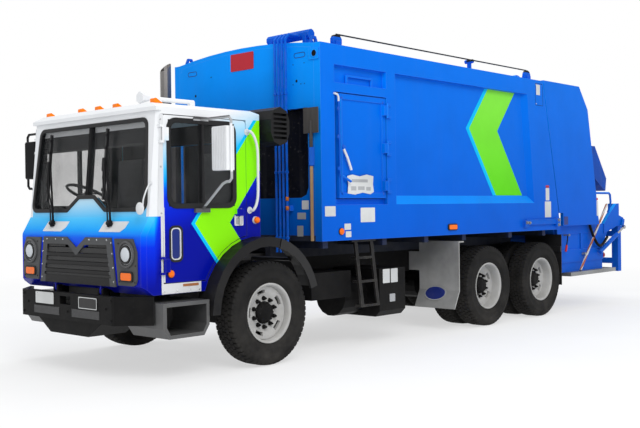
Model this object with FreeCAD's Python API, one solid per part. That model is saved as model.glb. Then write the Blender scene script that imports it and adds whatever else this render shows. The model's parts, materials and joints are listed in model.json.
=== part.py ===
import FreeCAD, Part
import math
import os

# Rear-loading garbage truck with a low tilting cab over the front axle and two driven rear axles.
# X runs along the truck with its front towards -X, -Y is its left side and Z is up from the road.
# Places along X are measured back from the front axle. Each finished piece is then moved so that
# the origin lies on the road under the middle of the truck.
# Round forms are drawn with flats, more of them on large forms than on small ones.

# Overall reach and running gear
front_reach = 1566.0
rear_reach = 8090.0
wheelbase = 3929.0
tandem_spacing = 1343.0
axle_height = 520.0
seat_gap = 0.3
move_gap = 8.0
overrun = 20.0

# Flats of round forms
tyre_sides = 24
rim_sides = 14
arch_sides = 32
large_sides = 16
round_sides = 10
small_sides = 6
corner_flats = 2
arch_flats = 8
front_fender_sides = 9
rear_fender_sides = 6
hopper_flats = 10

# Tyres and disc wheels
tyre_radius = 520.0
tyre_shoulder = 28.0
tread_half_width = 108.0
tyre_shoulder_half_width = 128.0
tyre_belly_half_width = 148.0
tyre_belly_radius = 400.0
bead_radius = 286.0
bead_half_width = 102.0
flange_radius = 300.0
flange_thickness = 10.0
rim_wall = 16.0
rim_width = 236.0
rim_well = 30.0
front_rim_face = 1198.0
rear_rim_face = 1210.0
front_disc_depth = 95.0
rear_disc_depth = 150.0
disc_thickness = 14.0
hub_hole_radius = 112.0
hub_reach = 60.0
bolt_face_radius = 175.0
dual_spacing = 330.0
inner_web_radius = 256.0
inner_web_depth = 30.0

# Frame
rail_outer = 432.0
rail_flange = 80.0
rail_wall = 10.0
rail_top = 1000.0
rail_depth = 270.0
rail_front = 1340.0
rail_rear = 5830.0
cross_member_radius = 45.0
cross_member_drop = 60.0
cross_member_places = (-1150.0, 1250.0, 2300.0, 3250.0, 5400.0)

# Front bumper
bumper_bottom = 517.0
bumper_top = 777.0
bumper_half_face = 800.0
bumper_half_width = 1070.0
bumper_wrap = 250.0
bumper_wall = 70.0
skid_bottom = 375.0
skid_half_top = 560.0
skid_half_bottom = 330.0
skid_depth = 420.0
skid_wall = 30.0
bumper_horn_top = 755.0
tow_slot_half_width = 95.0
tow_slot_bottom = 665.0
tow_slot_top = 745.0

# Engine, gearbox and radiator, as plain blocks
engine_front = 1000.0
engine_rear = 520.0
engine_half_width = 330.0
engine_bottom = 560.0
engine_top = 1330.0
gearbox_length = 620.0
gearbox_half_width = 190.0
gearbox_bottom = 620.0
gearbox_top = 1050.0
radiator_front = 1310.0
radiator_rear = 1230.0
radiator_half_width = 340.0
radiator_bottom = 700.0
radiator_top = 1390.0
shroud_half_width = 260.0
shroud_bottom = 1010.0
engine_mount_radius = 30.0
engine_mount_place = 500.0

# Front axle and steering
kingpin_offset = 885.0
kingpin_radius = 28.0
kingpin_half_height = 122.0
eye_radius = 58.0
beam_half_height = 55.0
beam_half_width = 50.0
beam_drop = 95.0
beam_bend = 640.0
spring_half_length = 700.0
spring_width = 90.0
spring_thickness = 60.0
spring_camber = 110.0
knuckle_half_height = 120.0
knuckle_arm = 50.0
yoke_inner = 68.0
yoke_outer = 110.0
spindle_radius = 45.0
spindle_length = 140.0
hub_bore_length = 152.0

# Rear axles and suspension
axle_tube_radius = 75.0
axle_half_length = 590.0
differential_radius = 210.0
differential_half_width = 150.0
walking_beam_inner = 455.0
walking_beam_outer = 545.0
walking_beam_half_height = 80.0
saddle_half_length = 170.0
saddle_inner = 352.0
shaft_radius = 50.0

# Side tanks and boxes
battery_front = 755.0
battery_rear = 1390.0
battery_bottom = 570.0
battery_top = 860.0
battery_outer = 1050.0
tank_box_front = 1770.0
tank_box_rear = 2240.0
tank_box_bottom = 375.0
tank_box_foot = 310.0
tank_box_top = 857.0
tank_box_outer = 1150.0
fuel_tank_front = 1180.0
tank_radius = 230.0
tank_offset = 740.0
tank_height = 560.0
strap_width = 120.0
box_inner = 470.0
bracket_inset = 30.0

# Steps and ladder
step_front = -1303.0
step_rear = -772.0
step_bottom = 392.0
step_top = 718.0
step_chamfer_height = 95.0
step_chamfer_run = 65.0
step_outer = 1190.0
step_inner = 640.0
step_wall = 35.0
step_arm_height = 70.0
frame_foot_width = 20.0
ladder_top = 1180.0
ladder_bottom = 450.0
ladder_front = 1330.0
ladder_rear = 1600.0
ladder_foot_shift = 110.0
ladder_rail_width = 45.0
ladder_rail_thickness = 25.0
ladder_outer = 1165.0
ladder_tread = 90.0
ladder_rungs = (1014.0, 748.0, 475.0)

# Fenders, flaps and mudguards
fender_outer_face = 1220.0
fender_inner_face = 985.0
fender_centre = -30.0
fender_centre_height = 555.0
fender_radius = 725.0
fender_wall = 22.0
fender_lip = 95.0
fender_lip_width = 28.0
fender_front_foot = 565.0
fender_rear_foot = 750.0
fender_split = 145.0
fender_split_gap = 14.0
fender_stay_place = 480.0
fender_stay_radius = 22.0
flap_place = 5850.0
flap_thickness = 12.0
flap_top = 1130.0
flap_bottom = 400.0
flap_inner = 620.0
flap_outer = 1215.0
flap_hanger_depth = 24.0
flap_hanger_low = 880.0
flap_hanger_high = 960.0
guard_place = 3250.0
guard_thickness = 16.0
guard_top = 1120.0
guard_bottom = 280.0
guard_knee = 500.0
guard_flare = 110.0
guard_inner = 600.0
guard_outer = 1215.0
guard_arm_bottom = 740.0
guard_arm_top = 980.0

# Exhaust and air cleaner
exhaust_place = 400.0
exhaust_offset = 945.0
exhaust_radius = 64.0
exhaust_top = 3310.0
exhaust_slant = 150.0
exhaust_wall = 6.0
exhaust_bore_depth = 400.0
exhaust_neck_low = 2440.0
exhaust_neck_high = 2540.0
exhaust_bend = 25.0
muffler_radius = 115.0
muffler_offset = 862.0
muffler_bottom = 1130.0
muffler_top = 2350.0
muffler_shelf = 40.0
cleaner_front = 45.0
cleaner_rear = 305.0
cleaner_bottom = 2190.0
cleaner_top = 2580.0
cleaner_outer = 1200.0
cleaner_inner = 560.0
louvre_count = 6
louvre_depth = 45.0
louvre_height = 26.0
louvre_frame = 38.0
louvre_margin = 55.0
duct_radius = 85.0
duct_drop_offset = 215.0
post_half_width = 40.0
post_cap_height = 80.0

# Load body
body_front = 753.0
body_half_width = 1219.0
skin_depth = 59.0
skin_wall = 35.0
body_skin_outer = body_half_width - skin_depth
body_skin_inner = body_skin_outer - skin_wall
body_bottom = 1205.0
body_floor_top = 1265.0
body_rail_bottom = 3090.0
body_top = 3307.0
crown_rise = 79.0
body_crown = body_top + crown_rise
roof_wall = 40.0
roof_side_depth = 80.0
joint_top_place = 5350.0
joint_low_place = 5776.0
joint_low_height = 1397.0
joint_foot_place = 5815.0
joint_gap = 24.0
front_post_rear = 970.0
second_post_front = 1850.0
second_post_rear = 2010.0
rear_post_top_front = 4930.0
rear_post_low_front = 5090.0
return_run = 95.0
sill_top = 1590.0
sill_slope_top = 1690.0
bay_cross_bottom = 2800.0
bay_cross_top = 2900.0
grab_staple_front = 1200.0
grab_staple_rear = 1640.0
grab_staple_top = 3000.0
grab_staple_bar = 20.0
grab_staple_stand_off = 12.0
side_door_front = 1050.0
side_door_rear = 1845.0
side_door_bottom = 1660.0
side_door_top = 2790.0
side_door_wall = 50.0
side_door_set_back = 14.0
side_door_face = body_half_width - side_door_set_back
side_door_rim = 60.0
side_door_dish = 14.0
door_pin_radius = 14.0
door_pin_stand_off = 19.0
door_pin_half = 56.0
door_pin_end = 25.0
door_pin_web = 55.0
door_pin_heights = (1800.0, 2225.0, 2650.0)
latch_handle_low = 1840.0
latch_handle_high = 1900.0
latch_handle_run = 120.0
front_wall_thickness = 60.0
front_window_bottom = 1670.0
front_window_top = 2630.0
front_window_half = 1030.0
front_window_corner = 110.0
subframe_inner = 350.0
subframe_outer = 430.0
subframe_rear = 5740.0
cross_sill_half = 40.0
cross_sill_depth = 80.0
cross_sill_places = (900.0, 1900.0, 2700.0, 3500.0, 4600.0, 5500.0)

# Ejector panel
ejector_front = 860.0
ejector_top = 3200.0
ejector_clear = 15.0
ejector_half_width = body_skin_inner - ejector_clear
ejector_knee = 1800.0
ejector_foot = 1420.0
ejector_wall = 60.0
ejector_shoe_length = 900.0
ejector_shoe_width = 120.0

# Roof gear, pipes and shovel
pipe_radius = 14.0
pipe_offsets = (600.0, 655.0, 710.0, 765.0)
pipe_stand_off = 60.0
pipe_foot = 1080.0
pipe_bend = 55.0
pipe_over_roof = 56.0
pipe_clamp_height = 1560.0
pipe_clamp_half = 30.0
winch_radius = 55.0
winch_place = 960.0
winch_inner = 250.0
winch_outer = 900.0
winch_lift = 70.0
winch_foot_inset = 60.0
front_sheave_place = 1185.0
rear_sheave_place = 5180.0
sheave_radius = 75.0
sheave_half_width = 22.0
fork_half_width = 44.0
cable_radius = 9.0
cable_offset = 1060.0
cable_height = 3457.0
roller_place = 3760.0
roller_radius = 26.0
roller_half_width = 60.0
lifting_eye_height = 90.0
lifting_eye_half_length = 90.0
lifting_eye_top_half = 30.0
lifting_eye_hole = 22.0
lifting_eye_thickness = 30.0
lifting_eye_offset = 1040.0
shovel_offset = 1105.0
shovel_blade_width = 210.0
shovel_blade_height = 270.0
shovel_blade_top = 2620.0
shovel_blade_thickness = 12.0
shovel_foot = 1210.0
shovel_clamp_bottom = 2010.0
shovel_clamp_top = 2200.0
shovel_handle_radius = 19.0
shovel_clamp_radius = 32.0
side_lamp_radius = 36.0
side_lamp_thickness = 22.0
side_lamp_height = 1302.0
side_lamp_places = (1050.0, 3110.0)

# Cab
cab_rear = 10.0
cab_half_width = 1066.0
cab_bottom = 787.0
cab_chin = 867.0
cab_brow = 1330.0
cab_nose = 1425.0
cab_chin_front = 1320.0
cab_waist = 1500.0
cab_waist_front = 1328.0
cab_head = 2464.0
cab_head_front = 1240.0
cab_wall = 60.0
cab_edge_chamfer = 38.0
cab_nose_radius = 60.0
roof_crown = 2545.0
roof_edge = 2500.0
roof_edge_inset = 130.0
roof_front = 1262.0
roof_front_slope = 60.0
front_post_line = 1208.0
windshield_bottom = 1561.0
windshield_peak = 1690.0
windshield_peak_half = 130.0
windshield_shoulder_half = 330.0
windshield_top = 2395.0
windshield_half_bottom = 985.0
windshield_half_top = 915.0
windshield_corner = 70.0
divider_half = 12.0
glass_thickness = 12.0
glass_depth = 18.0
floor_wall = 40.0
floor_low = 1010.0
tunnel_half = 420.0
tunnel_top = 1450.0
tunnel_wall = 40.0
rail_notch_half = 460.0
rail_notch_front = 1362.0
riser_top = 1330.0
riser_front = 690.0
riser_run = 210.0
back_window_half = 560.0
back_window_bottom = 1600.0
back_window_top = 2250.0
back_window_corner = 90.0

tilt_place = 1400.0
tilt_height = 800.0
tilt_pin_radius = 18.0
tilt_ear_radius = 30.0
tilt_ear_width = 20.0
tilt_lug_top = 900.0
foot_inner = 380.0
foot_top = 1060.0
foot_length = 100.0
foot_places = (-1300.0, -250.0)

# Doors
door_front = 1200.0
door_rear = 180.0
door_bottom = 890.0
door_top = 2425.0
door_wall = 55.0
door_arch_clear = 30.0
door_corner = 30.0
window_front = 1130.0
window_rear = 330.0
window_bottom = 1590.0
window_top = 2385.0
window_corner = 90.0
window_divider = 720.0
window_divider_half = 14.0
low_window_front = 1120.0
low_window_rear = 990.0
low_window_bottom = 1090.0
low_window_top = 1400.0
low_window_corner = 45.0
hinge_stand_off = 18.0
door_hinge_radius = 12.0
door_hinge_half = 60.0
door_hinge_end = 22.0
door_hinge_web = 30.0
door_hinge_heights = (1050.0, 2250.0)
handle_front = 330.0
handle_rear = 240.0
handle_bottom = 1490.0
handle_top = 1560.0
handle_depth = 35.0

# Mirrors
mirror_place_left = -750.0
mirror_place_right = -1080.0
mirror_inner = 1275.0
mirror_outer = 1490.0
mirror_bottom = 1915.0
mirror_top = 2320.0
mirror_half_depth = 45.0
mirror_corner = 22.0
mirror_arm_radius = 13.0
mirror_arm_outer = 1502.0
mirror_arm_low = 1555.0
mirror_arm_knee = 1400.0
mirror_arm_elbow = 1810.0
mirror_arm_top = 2405.0
mirror_arm_bend = 30.0
mirror_foot_half = 90.0
mirror_foot_depth = 26.0

# Grille, lamps and wipers
grille_half_top = 587.0
grille_half_bottom = 657.0
grille_top = 1307.0
grille_bottom = 854.0
grille_notch = 1203.0
grille_notch_half = 165.0
grille_frame = 75.0
grille_proud = 14.0
slat_heights = (975.0, 1055.0, 1135.0)
slat_half_height = 16.0
bezel_inner_top = 640.0
bezel_inner_bottom = 695.0
bezel_outer = 985.0
bezel_bottom = 872.0
bezel_top = 1300.0
bezel_shoulder = 1180.0
bezel_corner = 60.0
lamp_offset = 836.0
lamp_height = 1157.0
lamp_radius = 92.0
lamp_proud = 24.0
turn_height = 956.0
turn_half_width = 78.0
turn_half_height = 36.0
wiper_offset = 500.0
wiper_foot = 1440.0
wiper_top = 2050.0
wiper_sweep = 170.0
wiper_radius = 11.0
wiper_stand_off = 45.0
wiper_pad_half = 28.0
wiper_pad_height = 30.0

# Roof lamps and horn
roof_lamp_offsets = (0.0, 302.0, 902.0)
roof_lamp_half_width = 32.0
roof_lamp_height = 48.0
roof_lamp_rise = 20.0
roof_lamp_length = 100.0
roof_lamp_front = 1180.0
horn_offset = 640.0
horn_front = 1130.0
horn_rear = 480.0
horn_radius = 22.0
horn_mouth = 60.0
horn_flare = 120.0
horn_height = 2622.0
horn_foot_length = 60.0
horn_foot_spacing = 410.0

# Cab fittings
seat_offset = 745.0
seat_half_width = 235.0
seat_front = 640.0
seat_rear = 190.0
seat_base_top = 1440.0
cushion_thickness = 120.0
cushion_corner = 38.0
back_thickness = 125.0
back_taper = 55.0
back_top = 2140.0
dash_rear = 925.0
dash_bottom = 1300.0
dash_top = 1540.0
dash_corner = 50.0
dash_half_width = 950.0
steering_offset = 700.0
steering_place = 850.0
steering_height = 1740.0
steering_radius = 225.0
steering_tube = 17.0
steering_column_radius = 32.0
steering_column_length = 330.0
steering_tilt_degrees = 25.0

# Tailgate
gate_half_width = body_half_width
gate_wall = 50.0
gate_top = 3322.0
gate_top_rear = 6421.0
gate_shoulder = 6684.0
gate_shoulder_height = 2995.0
gate_waist = 6800.0
gate_waist_height = 2430.0
gate_low_rear = 7024.0
gate_low_height = 1254.0
gate_cover_wall = 40.0
gate_ledge_height = 30.0
gate_notch_rear = 5905.0
gate_notch_top = 1440.0
gate_hinge_place = 5382.0
gate_hinge_height = 3400.0
gate_hinge_offset = 760.0
gate_pin_radius = 18.0
gate_lug_radius = 40.0
gate_lug_half = 25.0
gate_lug_run = 260.0
hinge_ear_width = 30.0
hinge_ear_front = 5230.0
grab_offset_top = 1190.0
grab_offset_low = 1085.0
grab_start = 6900.0
grab_top = 1735.0
grab_bend_place = 7453.0
grab_low = 1569.0
grab_rear = 7589.0
grab_foot = 1428.0
grab_radius = 17.0
grab_bend = 35.0

# Hopper
hopper_outer = 1100.0
hopper_inner = 1060.0
hopper_front = 5862.0
hopper_side_front = 5900.0
hopper_low = 590.0
hopper_low_place = 6620.0
hopper_wall = 30.0
hopper_mouth = 7500.0
hopper_mouth_height = 1100.0
hopper_side_rear = 7580.0
hopper_side_rear_height = 1180.0
hopper_skirt_front = 5985.0
hopper_skirt_top = 700.0
hopper_skirt_low_front = 6030.0
hopper_skirt_rear = 7350.0
hopper_skirt_knee = 900.0
hopper_rail_bottom = 700.0
hopper_rail_top = 886.0
hopper_rail_front = 6000.0
hopper_rail_wall = 18.0
hopper_strip_bottom = 1127.0
hopper_strip_rear = 7000.0
hopper_rib_place = 6620.0
hopper_rib_width = 70.0
sill_bar_front = 7440.0
sill_bar_bottom = 1085.0
sill_bar_top = 1130.0
gate_lamp_radius = 48.0
gate_lamp_height = 762.0
gate_lamp_offset = 1085.0
gate_lamp_thickness = 40.0

# Rear step and pole
rear_step_front = 7330.0
rear_step_rear = 7610.0
rear_step_bottom = 500.0
rear_step_top = 556.0
rear_step_half_width = 1200.0
side_step_front = 6150.0
side_step_inner = 1010.0
step_slot_count = 7
step_slot_share = 0.6
step_slot_margin = 50.0
pole_radius = 16.0
pole_top_place = 7423.0
pole_top_height = 1560.0
pole_foot_place = 6480.0
pole_foot_offset = 1178.0
pole_top_offset = 1150.0
pole_clamp_place = 6640.0
pole_clamp_rear = 6740.0
pole_clamp_bottom = 800.0
pole_clamp_top = 830.0

# Packer carriage and blade
packer_half_width = 1140.0
packer_pin_place = 6960.0
packer_pin_height = 2230.0
packer_pin_radius = 45.0
packer_lug = 85.0
slide_run = 0.45
slide_fall = 0.893
carriage_length = 740.0
carriage_front_depth = 190.0
carriage_rear_depth = 20.0
carriage_foot = 110.0
cheek_rise = 190.0
blade_half_width = 1045.0
blade_top_front = 7130.0
blade_top_rear = 7252.0
blade_top_height = 2476.0
blade_rear = 7634.0
blade_rear_height = 1971.0
blade_tip = 7600.0
blade_tip_height = 1775.0
blade_inner = 7420.0
blade_inner_height = 1860.0

# Bin lifter
lifter_pin_place = 8045.0
lifter_pin_height = 1290.0
lifter_shaft_radius = 25.0
lifter_boss_radius = 42.0
housing_inner = 965.0
housing_outer = 1115.0
housing_front = 7840.0
housing_rear = 7925.0
housing_bottom = 1205.0
housing_top = 1570.0
bracket_foot_place = 7400.0
bracket_foot_height = 1100.0
bracket_top_place = 7580.0
bracket_top_height = 1400.0
ear_inner = 1085.0
ear_half_height = 45.0
post_inner = 965.0
post_outer = 1075.0
post_front = 7965.0
post_rear = 8075.0
post_bottom = 470.0
post_top = 1215.0
bar_depth = 70.0
bar_half_height = 45.0
bar_heights = (640.0, 1080.0)
lever_inner = 1123.0
lever_outer = 1141.0
lever_run = 54.0
lever_drop = 101.0
lever_half_width = 26.0
cylinder_foot_place = 7168.0
cylinder_foot_height = 833.0
cylinder_offset = 1167.0
barrel_radius = 34.0
barrel_length = 620.0
barrel_bore_depth = 560.0
cylinder_rod_radius = 16.0
cylinder_rod_length = 520.0
rod_eye_radius = 32.0
rod_eye_half = 17.0
trunnion_radius = 18.0

centre_shift = (rear_reach - front_reach) / 2


# Plain shape helpers

def vec(x, y, z):
    return FreeCAD.Vector(x, y, z)


X_AXIS = vec(1, 0, 0)
Y_AXIS = vec(0, 1, 0)
Z_AXIS = vec(0, 0, 1)
ORIGIN = vec(0, 0, 0)


def block(x0, x1, y0, y1, z0, z1):
    """Box between two corners."""
    return Part.makeBox(x1 - x0, y1 - y0, z1 - z0, vec(x0, y0, z0))


def with_corners(points):
    """Outline with each corner that has a third value, its radius, turned into short flats."""
    result = []
    count = len(points)
    for i, point in enumerate(points):
        here = vec(point[0], point[1], 0)
        if len(point) < 3:
            result.append(here)
            continue
        radius = point[2]
        before = points[i - 1]
        after = points[(i + 1) % count]
        back = (vec(before[0], before[1], 0) - here).normalize()
        ahead = (vec(after[0], after[1], 0) - here).normalize()
        half = back.getAngle(ahead) / 2
        centre = here + (back + ahead).normalize() * (radius / math.sin(half))
        start = here + back * (radius / math.tan(half)) - centre
        end = here + ahead * (radius / math.tan(half)) - centre
        sweep = math.pi - 2 * half
        for k in range(corner_flats + 1):
            share = k / corner_flats
            arm = start * math.sin((1 - share) * sweep) + end * math.sin(share * sweep)
            result.append(centre + arm * (1 / math.sin(sweep)))
    return [(p.x, p.y) for p in result]


def arc_points(start, middle, end, flats):
    """Points along the circle through three (u, v) points."""
    (ax, ay), (bx, by), (cx, cy) = start, middle, end
    area = 2 * (ax * (by - cy) + bx * (cy - ay) + cx * (ay - by))
    a2, b2, c2 = ax * ax + ay * ay, bx * bx + by * by, cx * cx + cy * cy
    ox = (a2 * (by - cy) + b2 * (cy - ay) + c2 * (ay - by)) / area
    oy = (a2 * (cx - bx) + b2 * (ax - cx) + c2 * (bx - ax)) / area
    radius = math.hypot(ax - ox, ay - oy)
    first = math.atan2(ay - oy, ax - ox)
    last = math.atan2(cy - oy, cx - ox)
    halfway = math.atan2(by - oy, bx - ox)
    turn = (last - first) % (2 * math.pi)
    if (halfway - first) % (2 * math.pi) > turn:
        turn -= 2 * math.pi
    angles = [first + turn * k / flats for k in range(flats + 1)]
    return [(ox + radius * math.cos(a), oy + radius * math.sin(a)) for a in angles]


def prism(corners, way):
    """Solid swept straight from a closed outline of points in space."""
    return Part.Face(Part.makePolygon(corners + corners[:1])).extrude(way)


def plate_x(points, x0, x1):
    """Prism along X from an outline of (y, z) points."""
    return prism([vec(x0, u, v) for u, v in with_corners(points)], vec(x1 - x0, 0, 0))


def plate_y(points, y0, y1):
    """Prism along Y from an outline of (x, z) points."""
    return prism([vec(u, y0, v) for u, v in with_corners(points)], vec(0, y1 - y0, 0))


def plate_z(points, z0, z1):
    """Prism along Z from an outline of (x, y) points."""
    return prism([vec(u, v, z0) for u, v in with_corners(points)], vec(0, 0, z1 - z0))


def circle_points(centre, way, radius, sides, first_share=1 / 2):
    """Corners of a regular outline around a direction, the first a share of a step from its start."""
    along = vec(way.x, way.y, way.z).normalize()
    side = Z_AXIS if abs(along.z) < math.cos(math.pi / 4) else X_AXIS
    first = side.cross(along).normalize()
    second = along.cross(first)
    corners = []
    for k in range(sides):
        angle = 2 * math.pi * (k + first_share) / sides
        corners.append(centre + first * (radius * math.cos(angle)) + second * (radius * math.sin(angle)))
    return corners


def rod(start, end, radius, sides=round_sides):
    """Round bar between two points."""
    return prism(circle_points(start, end - start, radius, sides), end - start)


def clear_radius(radius, sides):
    """Corner radius of a flat-sided hole that clears a round bar of this radius."""
    return (radius + seat_gap) / math.cos(math.pi / sides)


def bore(start, end, radius, sides=round_sides):
    """Hole whose flats face the corners of a round bar of this radius."""
    way = end - start
    return prism(circle_points(start, way, clear_radius(radius, sides), sides, 0), way)


def bar_y(x, z, radius, y0, y1, sides=round_sides):
    """Round bar across the truck."""
    return rod(vec(x, y0, z), vec(x, y1, z), radius, sides)


def bore_y(x, z, radius, y0, y1, sides=round_sides):
    """Hole across the truck that clears a round bar."""
    return bore(vec(x, y0, z), vec(x, y1, z), radius, sides)


def taper(start, end, start_radius, end_radius, sides):
    """Round taper between two points."""
    way = end - start
    first = circle_points(start, way, start_radius, sides)
    last = circle_points(end, way, end_radius, sides)
    return closed_solid([first, last])


def bent_tube(points, radius, bend, sides=small_sides):
    """Tube along straight runs with each bend cut into two mitres."""
    path = [points[0]]
    for i in range(1, len(points) - 1):
        here = points[i]
        path.append(here + (points[i - 1] - here).normalize() * bend)
        path.append(here + (points[i + 1] - here).normalize() * bend)
    path.append(points[-1])
    ring = circle_points(path[0], path[1] - path[0], radius, sides)
    rings = [ring]
    for i in range(1, len(path)):
        way = (path[i] - path[i - 1]).normalize()
        ahead = (path[i + 1] - path[i]).normalize() if i + 1 < len(path) else way
        plane = way + ahead
        ring = [p + way * ((path[i] - p).dot(plane) / way.dot(plane)) for p in ring]
        rings.append(ring)
    return closed_solid(rings)


def closed_solid(rings, whole=False):
    """Solid between outlines with the same number of corners, closed in a circle or by end faces."""
    faces = []
    pairs = list(zip(rings, rings[1:]))
    if whole:
        pairs.append((rings[-1], rings[0]))
    for here, following in pairs:
        for i in range(len(here)):
            j = (i + 1) % len(here)
            faces.append(Part.Face(Part.makePolygon([here[i], here[j], following[j], following[i], here[i]])))
    if not whole:
        for ring in (rings[0], rings[-1]):
            faces.append(Part.Face(Part.makePolygon(ring + ring[:1])))
    shell = Part.Shell(faces)
    shell.sewShape()
    solid = Part.Solid(shell)
    if solid.Volume < 0:
        solid.reverse()
    return solid


def turned(profile, side, place, height, sides, first=0.0, last=2 * math.pi):
    """Turned form around an axis across the truck.

    The profile's points are (radius, distance from the truck's middle); side is -1 for the left
    and 1 for the right. Without a full turn, first and last are its end angles.
    """
    whole = last - first == 2 * math.pi
    start = math.pi / sides if whole else first
    rings = []
    for k in range(sides if whole else sides + 1):
        angle = start + (last - first) * k / sides
        rings.append([vec(place + r * math.cos(angle), side * y, height + r * math.sin(angle))
                      for r, y in profile])
    return closed_solid(rings, whole)


def mirrored(shape):
    """The same piece on the other side of the truck."""
    return shape.mirror(ORIGIN, Y_AXIS)


def both(shape):
    return [shape, mirrored(shape)]


def fused(shapes):
    """One solid from touching pieces."""
    whole = shapes[0]
    if len(shapes) > 1:
        whole = whole.fuse(shapes[1:])
    return whole.removeSplitter()


def cut(shape, tools):
    return shape.cut(tools if isinstance(tools, list) else [tools])


def save(name, shapes):
    """Write one node, moved from the front axle's frame to the truck's middle."""
    pieces = shapes if isinstance(shapes, list) else [shapes]
    solids = []
    for piece in pieces:
        solids.extend(piece.Solids)
    whole = Part.makeCompound(solids) if len(solids) > 1 else solids[0].copy()
    whole.translate(vec(-centre_shift, 0, 0))
    whole.exportStep("parts/" + name + ".step")


# Wheels

def tyre(side, place, outer_face):
    """Tyre on a rim whose outer edge is at outer_face from the middle."""
    middle = outer_face - rim_width / 2
    corner = math.cos(math.pi / tyre_sides)
    half = [
        (clear_radius(bead_radius, tyre_sides), bead_half_width), (tyre_belly_radius, tyre_belly_half_width),
        ((tyre_radius - tyre_shoulder) / corner, tyre_shoulder_half_width),
        (tyre_radius / corner, tread_half_width),
    ]
    profile = [(r, middle - y) for r, y in half] + [(r, middle + y) for r, y in reversed(half)]
    return turned(profile, side, place, axle_height, tyre_sides)


def inner_tyre(side, place, outer_face):
    """Inner tyre of a twin wheel, with fewer flats."""
    middle = outer_face - rim_width / 2
    half = [
        (clear_radius(bead_radius, large_sides), bead_half_width),
        (tyre_belly_radius, tyre_belly_half_width),
        (tyre_radius / math.cos(math.pi / large_sides), tread_half_width),
    ]
    profile = [(r, middle - y) for r, y in half] + [(r, middle + y) for r, y in reversed(half)]
    return turned(profile, side, place, axle_height, large_sides)


def disc_wheel(side, place, outer_face, disc_depth):
    """Rim with its dished disc and bolting face."""
    inner = outer_face - rim_width
    disc = outer_face - disc_depth
    inside = bead_radius - rim_wall
    profile = [
        (flange_radius, outer_face), (bead_radius, outer_face - flange_thickness),
        (bead_radius, inner + flange_thickness), (flange_radius, inner),
        (inside, inner), (inside, disc - rim_well), (bolt_face_radius, disc - disc_thickness),
        (hub_hole_radius, disc - disc_thickness), (hub_hole_radius, disc), (bolt_face_radius, disc),
        (inside, disc + rim_well), (inside, outer_face),
    ]
    return turned(profile, side, place, axle_height, rim_sides)


def inner_wheel(side, place, outer_face, mount_face):
    """Inner rim of a twin wheel, its disc dished out to the mounting face."""
    inner = outer_face - rim_width
    inside = bead_radius - rim_wall
    profile = [
        (flange_radius, inner), (bead_radius, inner + flange_thickness),
        (bead_radius, outer_face - flange_thickness), (flange_radius, outer_face),
        (bolt_face_radius, mount_face), (hub_hole_radius, mount_face),
        (hub_hole_radius, mount_face - disc_thickness), (bolt_face_radius - disc_thickness, mount_face - disc_thickness),
        (inner_web_radius, outer_face - inner_web_depth), (inside, inner),
    ]
    return turned(profile, side, place, axle_height, rim_sides)


def hub(side, place, start, end):
    """Black hub that carries the disc wheels."""
    radius = hub_hole_radius - seat_gap / math.cos(math.pi / rim_sides)
    return bar_y(place, axle_height, radius, side * start, side * end, rim_sides)


def make_wheels():
    inner_end = kingpin_offset + yoke_outer + seat_gap
    inner_face = rear_rim_face - dual_spacing
    mount_face = rear_rim_face - rear_disc_depth - disc_thickness - seat_gap
    front_nose = front_rim_face - front_disc_depth + hub_reach
    rear_nose = rear_rim_face - rear_disc_depth + hub_reach
    for side, word in ((-1, "left"), (1, "right")):
        save("tyre_front_" + word, tyre(side, 0, front_rim_face))
        spindle_hole = bore_y(0, axle_height, spindle_radius, side * (inner_end - overrun),
                              side * (inner_end + hub_bore_length))
        front_hub = cut(hub(side, 0, inner_end, front_nose), spindle_hole)
        save("rim_front_" + word, [disc_wheel(side, 0, front_rim_face, front_disc_depth), front_hub])
        for place, row in ((wheelbase, "mid"), (wheelbase + tandem_spacing, "rear")):
            save("tyres_" + row + "_" + word,
                 [tyre(side, place, rear_rim_face), inner_tyre(side, place, inner_face)])
            save("rims_" + row + "_" + word, [
                disc_wheel(side, place, rear_rim_face, rear_disc_depth),
                inner_wheel(side, place, inner_face, mount_face),
                hub(side, place, axle_half_length + seat_gap, rear_nose),
            ])


# Frame and running gear

def rail():
    """Left frame rail, a channel open to the inside."""
    low = rail_top - rail_depth
    inner = rail_outer - rail_flange
    web = rail_outer - rail_wall
    outline = [
        (-rail_outer, low), (-inner, low), (-inner, low + rail_wall), (-web, low + rail_wall),
        (-web, rail_top - rail_wall), (-inner, rail_top - rail_wall), (-inner, rail_top),
        (-rail_outer, rail_top),
    ]
    return plate_x(outline, -rail_front, rail_rear)


def make_frame():
    web = rail_outer - rail_wall
    height = rail_top - cross_member_drop
    pieces = both(rail())
    for place in cross_member_places:
        pieces.append(bar_y(place, height, cross_member_radius, -web, web, small_sides))
    save("frame_rails", pieces)


def tilt_ears():
    """Left ears and pin that carry the tilting cab's lug."""
    r = tilt_ear_radius
    x = -tilt_place
    z = tilt_height
    inner = rail_outer - rail_flange
    ears = []
    for start in (-rail_outer, -inner - tilt_ear_width):
        ears.append(plate_y([
            (x - r, bumper_horn_top - overrun), (x + r, bumper_horn_top - overrun), (x + r, z + r, r / 2),
            (x - r, z + r, r / 2),
        ], start, start + tilt_ear_width))
    return ears + [bar_y(x, z, tilt_pin_radius, -rail_outer, -inner)]


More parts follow.
